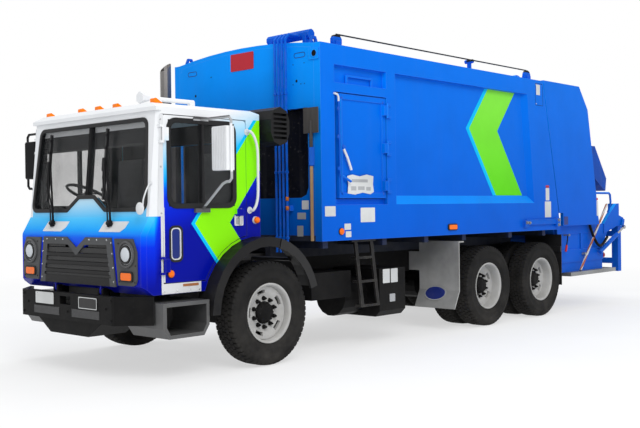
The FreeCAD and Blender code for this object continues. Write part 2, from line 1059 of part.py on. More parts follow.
def make_bumper():
    """Wrapped bumper with its tow slot, the skid below it and the horns to the rails."""
    face = -front_reach
    inner_face = face + bumper_wall
    back = face + bumper_wrap
    inner_end = bumper_half_width - bumper_wall
    inner_half = bumper_half_face - bumper_wall / 2
    plan = [
        (back, -bumper_half_width), (face, -bumper_half_face, bumper_wall),
        (face, bumper_half_face, bumper_wall), (back, bumper_half_width), (back, inner_end),
        (inner_face, inner_half), (inner_face, -inner_half), (back, -inner_end),
    ]
    shell = plate_z(plan, bumper_bottom, bumper_top)
    slot = block(face - overrun, inner_face + overrun, -tow_slot_half_width, tow_slot_half_width,
                 tow_slot_bottom, tow_slot_top)
    lip = inner_face - skid_wall
    skid = plate_x([
        (-skid_half_top, bumper_bottom), (-skid_half_bottom, skid_bottom),
        (skid_half_bottom, skid_bottom), (skid_half_top, bumper_bottom),
    ], lip, lip + skid_depth)
    hollow = plate_x([
        (-skid_half_top + skid_wall * 2, bumper_bottom + overrun), (-skid_half_bottom, skid_bottom + skid_wall),
        (skid_half_bottom, skid_bottom + skid_wall), (skid_half_top - skid_wall * 2, bumper_bottom + overrun),
    ], lip + skid_wall, lip + skid_depth + overrun)
    horn = block(inner_face, -rail_front - seat_gap, -rail_outer, -rail_outer + rail_flange,
                 rail_top - rail_depth, bumper_horn_top)
    pieces = [cut(shell, slot), cut(skid, hollow)]
    for piece in [horn] + tilt_ears():
        pieces.extend(both(piece))
    save("front_bumper", fused(pieces))


def make_engine():
    """Engine with its gearbox, shroud, radiator and the mounts that reach the rails."""
    mass = block(-engine_front, engine_rear, -engine_half_width, engine_half_width, engine_bottom, engine_top)
    gearbox = block(engine_rear, engine_rear + gearbox_length, -gearbox_half_width, gearbox_half_width,
                    gearbox_bottom, gearbox_top)
    radiator = block(-radiator_front, -radiator_rear, -radiator_half_width, radiator_half_width,
                     radiator_bottom, radiator_top)
    shroud = block(-radiator_rear, -engine_front, -shroud_half_width, shroud_half_width,
                   shroud_bottom, engine_top)
    middle = rail_top - rail_depth / 2
    reach = rail_outer - rail_wall - seat_gap
    mount = bar_y(-engine_mount_place, middle, engine_mount_radius, -reach, reach, small_sides)
    save("engine_block", fused([mass, gearbox, radiator, shroud, mount]))


def leaf_spring():
    """Left front spring, curved up to its shackles under the rail."""
    seat = axle_height + beam_half_height - beam_drop
    crown = rail_top - rail_depth
    tip = seat + spring_camber
    half = spring_half_length
    thick = spring_thickness
    outline = [
        (-half, tip), (0, seat + seat_gap), (half, tip), (half, crown - seat_gap),
        (half - thick, crown - seat_gap), (half - thick, tip + thick / 2), (0, seat + thick),
        (thick - half, tip + thick / 2), (thick - half, crown - seat_gap), (-half, crown - seat_gap),
    ]
    return plate_y(outline, -rail_outer, -rail_outer + spring_width)


def make_front_axle():
    """Dropped beam with its kingpins, and the leaf springs that carry it."""
    low = axle_height - beam_half_height
    high = axle_height + beam_half_height
    end = kingpin_offset
    outline = [
        (-end, low), (-beam_bend - beam_drop, low), (-beam_bend, low - beam_drop),
        (beam_bend, low - beam_drop), (beam_bend + beam_drop, low), (end, low), (end, high),
        (beam_bend + beam_drop, high), (beam_bend, high - beam_drop), (-beam_bend, high - beam_drop),
        (-beam_bend - beam_drop, high), (-end, high),
    ]
    pieces = [plate_x(outline, -beam_half_width, beam_half_width)]
    for y in (-end, end):
        pieces.append(rod(vec(0, y, low), vec(0, y, high), eye_radius))
        pieces.append(rod(vec(0, y, axle_height - kingpin_half_height),
                          vec(0, y, axle_height + kingpin_half_height), kingpin_radius))
    save("front_axle_beam", [fused(pieces)] + both(leaf_spring()))


def make_knuckles():
    """Steering knuckle around the kingpin with the spindle that carries the hub."""
    low = axle_height - knuckle_half_height
    high = axle_height + knuckle_half_height
    eye_low = axle_height - beam_half_height - move_gap
    eye_high = axle_height + beam_half_height + move_gap
    near = -kingpin_offset - yoke_outer
    far = -kingpin_offset + knuckle_arm
    arm = knuckle_arm
    pieces = [
        block(-arm, arm, near, -kingpin_offset - yoke_inner, low, high),
        block(-arm, arm, near, far, low, eye_low), block(-arm, arm, near, far, eye_high, high),
        bar_y(0, axle_height, spindle_radius, near - spindle_length, near),
    ]
    hole = bore(vec(0, -kingpin_offset, low - overrun), vec(0, -kingpin_offset, high + overrun), kingpin_radius)
    left = cut(fused(pieces), hole)
    save("knuckle_left", left)
    save("knuckle_right", mirrored(left))


def walking_beam():
    """Left beam between the rear axles, with the saddle up to the rail."""
    middle = wheelbase + tandem_spacing / 2
    reach = tandem_spacing / 2 - axle_tube_radius * math.cos(math.pi / round_sides) - seat_gap
    half = walking_beam_half_height
    crown = rail_top - rail_depth
    beam = plate_y([
        (middle - reach, axle_height - half / 4), (middle - reach / 2, axle_height - half),
        (middle + reach / 2, axle_height - half), (middle + reach, axle_height - half / 4),
        (middle + reach, axle_height + half / 4), (middle + reach / 2, axle_height + half),
        (middle - reach / 2, axle_height + half), (middle - reach, axle_height + half / 4),
    ], -walking_beam_outer, -walking_beam_inner)
    saddle = plate_y([
        (middle - saddle_half_length / 2, axle_height + half / 2),
        (middle + saddle_half_length / 2, axle_height + half / 2),
        (middle + saddle_half_length, crown - seat_gap), (middle - saddle_half_length, crown - seat_gap),
    ], -walking_beam_outer, -saddle_inner)
    return fused([beam, saddle])


def make_rear_axles():
    """Driven axles, the walking beams and the shafts."""
    line = []
    for place in (wheelbase, wheelbase + tandem_spacing):
        line.append(bar_y(place, axle_height, axle_tube_radius, -axle_half_length, axle_half_length))
        line.append(bar_y(place, axle_height, differential_radius, -differential_half_width,
                          differential_half_width, large_sides))
    start = vec(engine_rear + gearbox_length + seat_gap, 0, (gearbox_bottom + gearbox_top) / 2)
    middle = vec(wheelbase, 0, axle_height)
    rear = vec(wheelbase + tandem_spacing, 0, axle_height)
    line.append(prism(circle_points(start, X_AXIS, shaft_radius, small_sides), middle - start))
    line.append(rod(middle, rear, shaft_radius, small_sides))
    save("rear_axles", both(walking_beam()) + [fused(line)])


# Boxes, steps and fenders on the frame

def side_tank(front, rear):
    """Left round tank with its strap to the rail."""
    tank = rod(vec(front, -tank_offset, tank_height), vec(rear, -tank_offset, tank_height),
               tank_radius, large_sides)
    middle = (front + rear) / 2
    strap = block(middle - strap_width, middle + strap_width, -tank_offset, -rail_outer - seat_gap,
                  tank_height + tank_radius / 2, tank_height + tank_radius)
    return fused([tank, strap])


def make_side_tanks():
    """Boxes and round tanks hung outside both rails."""
    low = rail_top - rail_depth + rail_wall
    inset = bracket_inset
    battery = fused([
        block(battery_front, battery_rear, -battery_outer, -box_inner, battery_bottom, battery_top),
        block(battery_front + inset, battery_rear - inset, -box_inner, -rail_outer - seat_gap, low, battery_top),
    ])
    chamfer = tank_box_bottom - tank_box_foot
    tank_box = fused([
        plate_x([
            (-tank_box_outer, tank_box_bottom), (-tank_box_outer + chamfer, tank_box_foot),
            (-box_inner - chamfer, tank_box_foot), (-box_inner, tank_box_bottom),
            (-box_inner, tank_box_top), (-tank_box_outer, tank_box_top),
        ], tank_box_front, tank_box_rear),
        block(tank_box_front + inset, tank_box_rear - inset, -box_inner, -rail_outer - seat_gap, low, tank_box_top),
    ])
    near = side_tank(battery_rear + seat_gap, tank_box_front - seat_gap)
    far = mirrored(side_tank(fuel_tank_front, tank_box_rear))
    save("side_tanks", [battery, tank_box, near, far])


def cab_step():
    """Left step box: a folded hoop with a closed back, carried from the rail."""
    wall = step_wall
    low = step_bottom
    outline = [
        (step_front, low + step_chamfer_height), (step_front + step_chamfer_run, low),
        (step_rear - step_chamfer_run, low), (step_rear, low + step_chamfer_height),
        (step_rear, step_top), (step_front, step_top),
    ]
    hole = [
        (step_front + wall, low + step_chamfer_height + wall / 3),
        (step_front + step_chamfer_run + wall / 3, low + wall),
        (step_rear - step_chamfer_run - wall / 3, low + wall),
        (step_rear - wall, low + step_chamfer_height + wall / 3),
        (step_rear - wall, step_top - wall), (step_front + wall, step_top - wall),
    ]
    hoop = cut(plate_y(outline, -step_outer, -step_inner),
               plate_y(hole, -step_outer - overrun, -step_inner - wall))
    front = step_front + step_chamfer_run
    rear = step_rear - step_chamfer_run
    arm = block(front, rear, -step_inner, -rail_outer - seat_gap, step_top - step_arm_height, step_top)
    foot = block(front, rear, -rail_outer - frame_foot_width, -rail_outer - seat_gap,
                 step_top - step_arm_height, rail_top - rail_depth / 2)
    return fused([hoop, arm, foot])


def ladder_rail(place):
    """Ladder rail that leans back towards its foot."""
    foot = place + ladder_foot_shift
    return plate_y([
        (place, ladder_top), (foot, ladder_bottom), (foot + ladder_rail_width, ladder_bottom),
        (place + ladder_rail_width, ladder_top),
    ], -ladder_outer, -ladder_outer + ladder_rail_thickness)


def ladder():
    """Left ladder that hangs from the body."""
    pieces = [ladder_rail(ladder_front), ladder_rail(ladder_rear)]
    for height in ladder_rungs:
        shift = ladder_foot_shift * (ladder_top - height) / (ladder_top - ladder_bottom)
        pieces.append(block(ladder_front + shift, ladder_rear + shift + ladder_rail_width, -ladder_outer,
                            -ladder_outer + ladder_tread, height - ladder_rail_thickness, height))
    pieces.append(block(ladder_front - ladder_rail_width, ladder_rear + ladder_rail_width * 2, -ladder_outer,
                        -ladder_outer + ladder_rail_width, ladder_top, body_bottom - seat_gap))
    return fused(pieces)


def make_steps():
    save("steps_and_ladder", both(cab_step()) + [ladder()])


def angle_at_place(place):
    """Angle on the fender's upper circle at a place along X."""
    return math.acos((place - fender_centre) / fender_radius)


def angle_at_height(height):
    """Angle on the fender's rear circle at a height."""
    return math.asin((height - fender_centre_height) / fender_radius)


def fender(first, last, flats):
    """Left fender between two angles, with its lip turned down outside."""
    inside = fender_radius - fender_wall
    profile = [
        (fender_radius, fender_inner_face), (fender_radius, fender_outer_face),
        (fender_radius - fender_lip, fender_outer_face),
        (fender_radius - fender_lip, fender_outer_face - fender_lip_width),
        (inside, fender_outer_face - fender_lip_width), (inside, fender_inner_face),
    ]
    return turned(profile, -1, fender_centre, fender_centre_height, flats, first, last)


def rear_fender():
    """Chassis half of the left fender with its stay to the rail."""
    band = fender(angle_at_height(fender_rear_foot), angle_at_place(fender_split + fender_split_gap),
                  rear_fender_sides)
    inside = fender_radius - fender_wall
    stay_height = fender_centre_height + math.sqrt(inside ** 2 - (fender_stay_place - fender_centre) ** 2)
    height = stay_height - fender_stay_radius / 2
    stay = bar_y(fender_stay_place, height, fender_stay_radius, -fender_inner_face - fender_lip_width,
                 -rail_outer - seat_gap, small_sides)
    foot = block(fender_stay_place - fender_stay_radius, fender_stay_place + fender_stay_radius,
                 -rail_outer - frame_foot_width, -rail_outer - seat_gap, rail_top - rail_depth / 2, height)
    return fused([band, stay, foot])


def rear_flap():
    """Left flap behind the rear wheels on its hanger."""
    flap = block(flap_place - flap_thickness, flap_place, -flap_outer, -flap_inner, flap_bottom, flap_top)
    hanger = block(flap_place - flap_thickness - flap_hanger_depth, flap_place - flap_thickness, -flap_outer,
                   -rail_outer - seat_gap, flap_hanger_low, flap_hanger_high)
    return fused([flap, hanger])


def mudguard():
    """Left pale sheet guard in front of the twin wheels, flared at the foot."""
    outline = [
        (guard_place, guard_top), (guard_place, guard_knee), (guard_place - guard_flare, guard_bottom),
        (guard_place - guard_flare + guard_thickness, guard_bottom),
        (guard_place + guard_thickness, guard_knee), (guard_place + guard_thickness, guard_top - guard_thickness),
        (guard_place + guard_flare, guard_top - guard_thickness), (guard_place + guard_flare, guard_top),
    ]
    sheet = plate_y(outline, -guard_outer, -guard_inner)
    arm = block(guard_place, guard_place + guard_thickness * 3, -guard_inner - guard_thickness,
                -rail_outer - seat_gap, guard_arm_bottom, guard_arm_top)
    return fused([sheet, arm])


def make_fenders():
    save("fenders_and_flaps", both(rear_fender()) + both(rear_flap()))
    save("mudguards", both(mudguard()))


def make_exhaust():
    """Upright silencer and stack behind the cab on the right, with its tip cut at a slant."""
    x = exhaust_place
    body = rod(vec(x, muffler_offset, muffler_bottom), vec(x, muffler_offset, muffler_top),
               muffler_radius, large_sides)
    stack = bent_tube([
        vec(x, muffler_offset, muffler_top - overrun), vec(x, muffler_offset, exhaust_neck_low),
        vec(x, exhaust_offset, exhaust_neck_high), vec(x, exhaust_offset, exhaust_top),
    ], exhaust_radius, exhaust_bend, round_sides)
    mouth = rod(vec(x, exhaust_offset, exhaust_top - exhaust_bore_depth),
                vec(x, exhaust_offset, exhaust_top + overrun), exhaust_radius - exhaust_wall)
    reach = exhaust_radius + overrun
    slant = plate_y([
        (x - reach, exhaust_top - exhaust_slant), (x + reach, exhaust_top),
        (x + reach, exhaust_top + overrun), (x - reach, exhaust_top + overrun),
    ], exhaust_offset - reach, exhaust_offset + reach)
    shelf = block(x - muffler_radius, x + muffler_radius, rail_outer + seat_gap, muffler_offset,
                  muffler_bottom - muffler_shelf, muffler_bottom)
    leg = block(x - muffler_radius, x + muffler_shelf, rail_outer + seat_gap, rail_outer + muffler_shelf,
                rail_top - rail_depth / 2, muffler_bottom)
    save("exhaust_stack", cut(fused([body, stack, shelf, leg]), [mouth, slant]))


def make_air_cleaner():
    """Oval drum with a louvred mouth on the left, its duct and the post that carries it."""
    round_edge = (cleaner_rear - cleaner_front) / 2 - seat_gap
    outline = [
        (cleaner_front, cleaner_bottom, round_edge), (cleaner_rear, cleaner_bottom, round_edge),
        (cleaner_rear, cleaner_top, round_edge), (cleaner_front, cleaner_top, round_edge),
    ]
    drum = plate_y(outline, -cleaner_outer, -cleaner_inner)
    pitch = (cleaner_top - cleaner_bottom - louvre_margin * 2) / louvre_count
    slots = []
    for i in range(louvre_count):
        low = cleaner_bottom + louvre_margin + i * pitch + (pitch - louvre_height) / 2
        slots.append(block(cleaner_front + louvre_frame, cleaner_rear - louvre_frame, -cleaner_outer - overrun,
                           -cleaner_outer + louvre_depth, low, low + louvre_height))
    x = (cleaner_front + cleaner_rear) / 2
    height = (cleaner_bottom + cleaner_top) / 2
    duct = bar_y(x, height, duct_radius, -cleaner_inner, duct_drop_offset + duct_radius)
    drop = rod(vec(x, duct_drop_offset, height), vec(x, duct_drop_offset, engine_top + seat_gap), duct_radius)
    post = block(x - post_half_width, x + post_half_width, -rail_outer - post_half_width * 2,
                 -rail_outer - seat_gap, rail_top - rail_depth / 2, cleaner_bottom)
    cap = block(x - post_half_width, x + post_half_width, -cleaner_inner - post_half_width * 2,
                -rail_outer - seat_gap, cleaner_bottom - post_cap_height, cleaner_bottom + post_half_width)
    save("air_cleaner", fused([cut(drum, slots), duct, drop, post, cap]))


# Load body

def joint_line(height, back=0.0):
    """Place along X of the slanted joint between body and tailgate at a height."""
    if height >= joint_low_height:
        share = (body_top - height) / (body_top - joint_low_height)
        return joint_top_place + share * (joint_low_place - joint_top_place) + back
    share = (joint_low_height - height) / (joint_low_height - body_bottom)
    return joint_low_place + share * (joint_foot_place - joint_low_place) + back


def make_body_floor():
    """Load floor on its two long sills and the cross sills outside them."""
    half = body_skin_inner - seat_gap
    plate = block(body_front, joint_line(body_floor_top) - joint_gap, -half, half, body_bottom, body_floor_top)
    sill = block(body_front, subframe_rear, -subframe_outer, -subframe_inner, rail_top + seat_gap, body_bottom)
    pieces = [plate] + both(sill)
    for place in cross_sill_places:
        pieces.extend(both(block(place - cross_sill_half, place + cross_sill_half, -half, -subframe_outer,
                                 body_bottom - cross_sill_depth, body_bottom)))
    save("body_floor", pieces)


def side_door_hinge_ends():
    """Wall's halves of the side door's hinges, above and below the door's knuckles."""
    y = -body_half_width - door_pin_stand_off
    half = door_pin_radius / 2
    rear = side_door_rear + door_pin_web
    pieces = []
    for height in door_pin_heights:
        top = height + door_pin_half + seat_gap
        bottom = height - door_pin_half - seat_gap - door_pin_end
        for low in (bottom, top):
            high = low + door_pin_end
            pieces.append(rod(vec(side_door_rear, y, low), vec(side_door_rear, y, high), door_pin_radius, small_sides))
            pieces.append(block(side_door_rear, rear, y - half, y + half, low, high))
            pieces.append(block(side_door_rear + overrun, rear, y - half, -body_half_width + half, low, high))
    return pieces


def side_wall(with_door):
    """Left wall: skin, posts, rails and the sloping sill under the large panel."""
    face = -body_half_width - overrun
    skin_face = -body_skin_outer
    outline = [
        (body_front, body_bottom), (joint_foot_place, body_bottom), (joint_low_place, joint_low_height),
        (joint_top_place, body_top), (body_front, body_top),
    ]
    wall = plate_y(outline, -body_half_width, -body_skin_inner)
    bay = block(front_post_rear, second_post_front, face, skin_face, bay_cross_top, body_rail_bottom)
    low_bay = block(front_post_rear, second_post_front, face, skin_face, sill_top, bay_cross_bottom)
    panel = plate_y([
        (second_post_rear, sill_top), (rear_post_low_front, sill_top), (rear_post_top_front, body_rail_bottom),
        (second_post_rear, body_rail_bottom),
    ], face, skin_face)
    slope = plate_x([
        (-body_half_width, sill_top), (skin_face, sill_slope_top), (skin_face, sill_top),
    ], second_post_rear, rear_post_low_front)
    wedge = prism([
        vec(rear_post_low_front - return_run, skin_face, sill_top),
        vec(rear_post_low_front, -body_half_width, sill_top), vec(rear_post_low_front, skin_face, sill_top),
    ], vec(rear_post_top_front - rear_post_low_front, 0, body_rail_bottom - sill_top))
    outside = -body_skin_outer - grab_staple_stand_off
    bar = cut(block(grab_staple_front, grab_staple_rear, outside - grab_staple_bar, outside, bay_cross_top - seat_gap,
                    grab_staple_top),
              block(grab_staple_front + grab_staple_bar, grab_staple_rear - grab_staple_bar,
                    outside - grab_staple_bar - overrun, outside + overrun, bay_cross_top,
                    grab_staple_top - grab_staple_bar))
    wall = fused([cut(wall, [bay, low_bay, panel]), slope, wedge, bar])
    if with_door:
        gap = move_gap
        wall = cut(wall, block(side_door_front - gap, side_door_rear + gap, face, -body_skin_inner + overrun,
                               side_door_bottom - gap, side_door_top + gap))
        wall = fused([wall] + side_door_hinge_ends())
    return wall


def make_body_sides():
    save("body_side_left", side_wall(True))
    save("body_side_right", mirrored(side_wall(False)))


def roof_arch(lift, half):
    """Points across the roof's arch, raised by a lift."""
    return arc_points((-half, body_top + lift), (0, body_crown + lift), (half, body_top + lift), arch_flats)


def under_arch(lift, half, base, x0, x1):
    """Prism under the roof's arch down to a base height."""
    return plate_x(roof_arch(lift, half) + [(half, base), (-half, base)], x0, x1)


def gate_hinge_ears():
    """Ears and pins on the roof's rear edge that carry the tailgate."""
    pieces = []
    reach = gate_lug_half + move_gap
    pin = gate_pin_radius
    for side in (-1, 1):
        middle = side * gate_hinge_offset
        pieces.append(bar_y(gate_hinge_place, gate_hinge_height, pin, middle - reach, middle + reach))
        for start in (middle - reach - hinge_ear_width, middle + reach):
            pieces.append(plate_y([
                (hinge_ear_front, body_top), (joint_top_place, body_top),
                (gate_hinge_place + pin, gate_hinge_height - pin), (gate_hinge_place + pin, gate_hinge_height + pin),
                (gate_hinge_place - pin, gate_hinge_height + pin),
            ], start, start + hinge_ear_width))
    return pieces


def make_body_roof():
    """Crowned roof sheet between the side walls with the tailgate's hinge ears."""
    half = body_skin_inner - seat_gap
    end = joint_top_place
    outer = under_arch(0, half, body_top - roof_side_depth, body_front, end)
    inner = under_arch(-roof_wall, half - roof_wall, body_rail_bottom, body_front - overrun, end + overrun)
    save("body_roof", fused([cut(outer, inner)] + gate_hinge_ears()))


def make_front_wall():
    """Front wall with its large opening."""
    half = body_skin_inner - seat_gap
    back = body_front + front_wall_thickness
    low = body_floor_top + seat_gap
    top = body_top - roof_side_depth - seat_gap
    wall = under_arch(-roof_wall - seat_gap, half - roof_wall - seat_gap, low, body_front, back)
    sides = block(body_front, back, -half, half, low, top)
    window = plate_x([
        (-front_window_half, front_window_bottom, front_window_corner),
        (front_window_half, front_window_bottom, front_window_corner),
        (front_window_half, front_window_top), (-front_window_half, front_window_top),
    ], body_front - overrun, back + overrun)
    save("body_front_wall", cut(fused([wall, sides]), window))


def make_ejector():
    """Push panel with a raked foot on its sliding shoes."""
    low = body_floor_top + move_gap
    wall = ejector_wall
    face = plate_y([
        (ejector_front, low), (ejector_front + wall, low), (ejector_front + wall, ejector_knee - wall),
        (ejector_foot - wall, low), (ejector_foot, low), (ejector_front + wall, ejector_knee + wall),
        (ejector_front + wall, ejector_top), (ejector_front, ejector_top),
    ], -ejector_half_width, ejector_half_width)
    shoe = block(ejector_front, ejector_front + ejector_shoe_length, -ejector_half_width,
                 -ejector_half_width + ejector_shoe_width, body_floor_top + seat_gap, low + wall)
    save("ejector_panel", fused([face] + both(shoe)))


def make_access_door():
    """Side door of the load body with a pressed field, its latch rod and hinge knuckles."""
    leaf = block(side_door_front, side_door_rear, -side_door_face, -side_door_face + side_door_wall,
                 side_door_bottom, side_door_top)
    rim = side_door_rim
    field = block(side_door_front + rim, side_door_rear - rim, -side_door_face - overrun,
                  -side_door_face + side_door_dish, side_door_bottom + rim, side_door_top - rim)
    pieces = [cut(leaf, field)]
    pin = door_pin_radius
    pin_y = -body_half_width - door_pin_stand_off
    for height in door_pin_heights:
        low = height - door_pin_half
        high = height + door_pin_half
        pieces.append(rod(vec(side_door_rear, pin_y, low), vec(side_door_rear, pin_y, high), pin, small_sides))
        pieces.append(block(side_door_rear - rim, side_door_rear - pin / 2, pin_y - pin / 2,
                            -side_door_face + side_door_dish / 2, low, high))
    latch = side_door_front + rim / 2
    face = -side_door_face - pin / 2
    pieces.append(rod(vec(latch, face, side_door_bottom + rim), vec(latch, face, side_door_top - rim),
                      pin, small_sides))
    pieces.append(rod(vec(latch, face - pin / 2, latch_handle_high),
                      vec(latch + latch_handle_run, face - pin * 2, latch_handle_low), pin, small_sides))
    save("access_door", fused(pieces))


def roof_winch():
    """Horizontal hoist ram across the roof's front on two feet."""
    lift = body_crown + winch_lift
    pieces = [bar_y(winch_place, lift, winch_radius, -winch_outer, -winch_inner)]
    for y in (-winch_outer + winch_foot_inset, -winch_inner - winch_foot_inset):
        pieces.append(block(winch_place - winch_radius, winch_place + winch_radius, y - sheave_half_width,
                            y + sheave_half_width, body_top, lift))
    return pieces


def cable_run():
    """Sheaves, middle roller and the taut cable along the roof's left edge."""
    axle = cable_height - sheave_radius
    pieces = []
    for place in (front_sheave_place, rear_sheave_place):
        pieces.append(bar_y(place, axle, sheave_radius, -cable_offset - sheave_half_width,
                            -cable_offset + sheave_half_width))
        pieces.append(block(place - fork_half_width, place + fork_half_width, -cable_offset - fork_half_width,
                            -cable_offset + fork_half_width, body_top, axle))
    pieces.append(bar_y(roller_place, cable_height - roller_radius, roller_radius,
                        -cable_offset - roller_half_width, -cable_offset + roller_half_width, small_sides))
    pieces.append(block(roller_place - roller_radius / 2, roller_place + roller_radius / 2,
                        -cable_offset - roller_radius, -cable_offset + roller_radius, body_top,
                        cable_height - roller_radius))
    pieces.append(rod(vec(front_sheave_place, -cable_offset, cable_height),
                      vec(rear_sheave_place, -cable_offset, cable_height), cable_radius, small_sides))
    return pieces


def lifting_eye():
    """Left lifting eye at the roof's front corner."""
    low = body_top - lifting_eye_height / 2
    middle = body_front + lifting_eye_half_length
    y0 = -lifting_eye_offset - lifting_eye_thickness / 2
    lug = plate_y([
        (body_front, low), (middle + lifting_eye_half_length, low),
        (middle + lifting_eye_top_half, body_top + lifting_eye_height),
        (middle - lifting_eye_top_half, body_top + lifting_eye_height),
    ], y0, y0 + lifting_eye_thickness)
    height = body_top + lifting_eye_height / 2
    return cut(lug, Part.makeCylinder(lifting_eye_hole, lifting_eye_thickness + overrun * 2,
                                      vec(middle, y0 - overrun, height), Y_AXIS))


def feed_pipes():
    """Pipes up the front wall and over the roof's edge to the ram, with their clamp."""
    x = body_front - pipe_stand_off
    top = body_crown + pipe_over_roof
    end = winch_place - winch_radius - seat_gap
    pieces = []
    for offset in pipe_offsets:
        pieces.append(bent_tube([vec(x, -offset, pipe_foot), vec(x, -offset, top), vec(end, -offset, top)],
                                pipe_radius, pipe_bend))
    pieces.append(block(x + pipe_radius, body_front - seat_gap, -max(pipe_offsets) - pipe_clamp_half,
                        -min(pipe_offsets) + pipe_clamp_half, pipe_clamp_height - pipe_clamp_half,
                        pipe_clamp_height + pipe_clamp_half))
    return pieces


def make_hoist_gear():
    half = body_skin_inner - seat_gap
    under_roof = under_arch(seat_gap, half, body_bottom, body_front - overrun, joint_top_place)
    pieces = [cut(fused(roof_winch()), under_roof), cut(fused(cable_run()), under_roof)]
    pieces.extend(both(cut(lifting_eye(), under_roof)))
    save("hoist_gear_and_pipes", pieces + feed_pipes())


def make_shovel():
    """Square shovel clamped upright on the front wall's left edge."""
    x = body_front - shovel_clamp_radius - seat_gap
    half = shovel_blade_width / 2
    blade = block(x - shovel_blade_thickness / 2, x + shovel_blade_thickness / 2, -shovel_offset - half,
                  -shovel_offset + half, shovel_blade_top - shovel_blade_height, shovel_blade_top)
    handle = rod(vec(x, -shovel_offset, shovel_foot),
                 vec(x, -shovel_offset, shovel_blade_top - shovel_blade_height / 2), shovel_handle_radius, small_sides)
    clamp = rod(vec(x, -shovel_offset, shovel_clamp_bottom), vec(x, -shovel_offset, shovel_clamp_top),
                shovel_clamp_radius, small_sides)
    save("shovel", fused([blade, handle, clamp]))


def make_body_lamps():
    pieces = []
    for place in side_lamp_places:
        pieces.extend(both(bar_y(place, side_lamp_height, side_lamp_radius,
                                 -body_half_width - side_lamp_thickness, -body_half_width - seat_gap)))
    save("body_lamps", pieces)


# Cab

def cab_solid(inset):
    """Solid of the cab's side profile, or of the space inside its walls."""
    i = inset
    outline = [
        (-cab_chin_front + i, cab_bottom + i), (-cab_nose + i, cab_chin + i / 2),
        (-cab_nose + i, cab_brow - i / 3, cab_nose_radius), (-cab_waist_front + i, cab_waist),
        (-cab_head_front + i, cab_head), (cab_rear - i, cab_head), (cab_rear - i, cab_bottom + i),
    ]
    return plate_y(outline, -cab_half_width + i, cab_half_width - i)


def cab_skin():
    """Walls of the cab, open at the roof and floor, with chamfered front corners."""
    outer = cab_solid(0)
    edges = []
    for edge in outer.Edges:
        box = edge.BoundBox
        at_front = box.XMax < -cab_head_front + cab_nose_radius and box.XMin < -cab_head_front - seat_gap
        at_side = box.YLength < seat_gap and abs(abs(box.YMin) - cab_half_width) < seat_gap
        if at_front and at_side and box.ZMin > cab_chin - seat_gap:
            edges.append(edge)
    outer = outer.makeChamfer(cab_edge_chamfer, edges)
    wall = cab_wall
    half = cab_half_width - wall
    below = block(-cab_chin_front + wall, cab_rear - wall, -half, half, cab_bottom - overrun, cab_chin + wall)
    return cut(outer, [cab_solid(wall), below])


def fender_cylinder(radius, y0, y1):
    """Cylinder around the fender's centre whose flats clear a radius."""
    corner = clear_radius(radius, arch_sides)
    return bar_y(fender_centre, fender_centre_height, corner, y0, y1, arch_sides)


def windshield_outline(shrink):
    """Opening of the windshield, raised at its lower middle."""
    s = shrink
    corner = windshield_corner
    return [
        (-windshield_half_bottom + s, windshield_bottom + s, corner),
        (-windshield_shoulder_half, windshield_bottom + s), (-windshield_peak_half, windshield_peak + s),
        (windshield_peak_half, windshield_peak + s), (windshield_shoulder_half, windshield_bottom + s),
        (windshield_half_bottom - s, windshield_bottom + s, corner),
        (windshield_half_top - s, windshield_top - s, corner), (-windshield_half_top + s, windshield_top - s, corner),
    ]


def front_slab(outline, near, far):
    """Prism square to the sloped windshield plane, between two depths behind its face."""
    lean = math.atan2(cab_waist_front - cab_head_front, cab_head - cab_waist)
    inward = vec(math.cos(lean), 0, -math.sin(lean))
    corners = []
    for u, v in with_corners(outline):
        x = -cab_waist_front + (v - cab_waist) * math.tan(lean)
        corners.append(vec(x, u, v) + inward * near)
    return prism(corners, inward * (far - near))


def windshield_divider(gap):
    """Upright bar between the two panes."""
    return block(-front_reach, 0, -divider_half - gap, divider_half + gap, cab_waist, cab_head)


def grille_outline(inset):
    """Outline of the grille surround with its V notch."""
    g = inset
    return [
        (-grille_half_bottom + g, grille_bottom + g), (grille_half_bottom - g, grille_bottom + g),
        (grille_half_top - g, grille_top - g), (grille_notch_half - g / 3, grille_top - g),
        (0, grille_notch - g), (-grille_notch_half + g / 3, grille_top - g), (-grille_half_top + g, grille_top - g),
    ]


def tilt_lug():
    """Left lug under the front wall that turns on the bumper's pin."""
    r = tilt_ear_radius
    x = -tilt_place
    z = tilt_height
    y0 = -rail_outer + tilt_ear_width + move_gap
    y1 = -rail_outer + rail_flange - tilt_ear_width - move_gap
    return plate_y([
        (x - r, z - r, r / 2), (x + r, z - r, r / 2), (-rail_notch_front, tilt_lug_top),
        (-cab_nose, tilt_lug_top), (-cab_nose, cab_chin - overrun), (x - r, z + r),
    ], y0, y1)


def door_hinge_ends():
    """Cab's halves of the left door's hinges, above and below the door's knuckles."""
    y = -cab_half_width - hinge_stand_off
    half = door_hinge_radius / 2
    pieces = []
    for height in door_hinge_heights:
        top = height + door_hinge_half + seat_gap
        bottom = height - door_hinge_half - seat_gap - door_hinge_end
        for low in (bottom, top):
            high = low + door_hinge_end
            pieces.append(rod(vec(-door_front, y, low), vec(-door_front, y, high), door_hinge_radius, small_sides))
            pieces.append(block(-front_post_line - door_hinge_web, -door_front, y - half, y + half, low, high))
            pieces.append(block(-front_post_line - door_hinge_web, -front_post_line, y - half,
                                -cab_half_width + door_hinge_end, low, high))
    return pieces


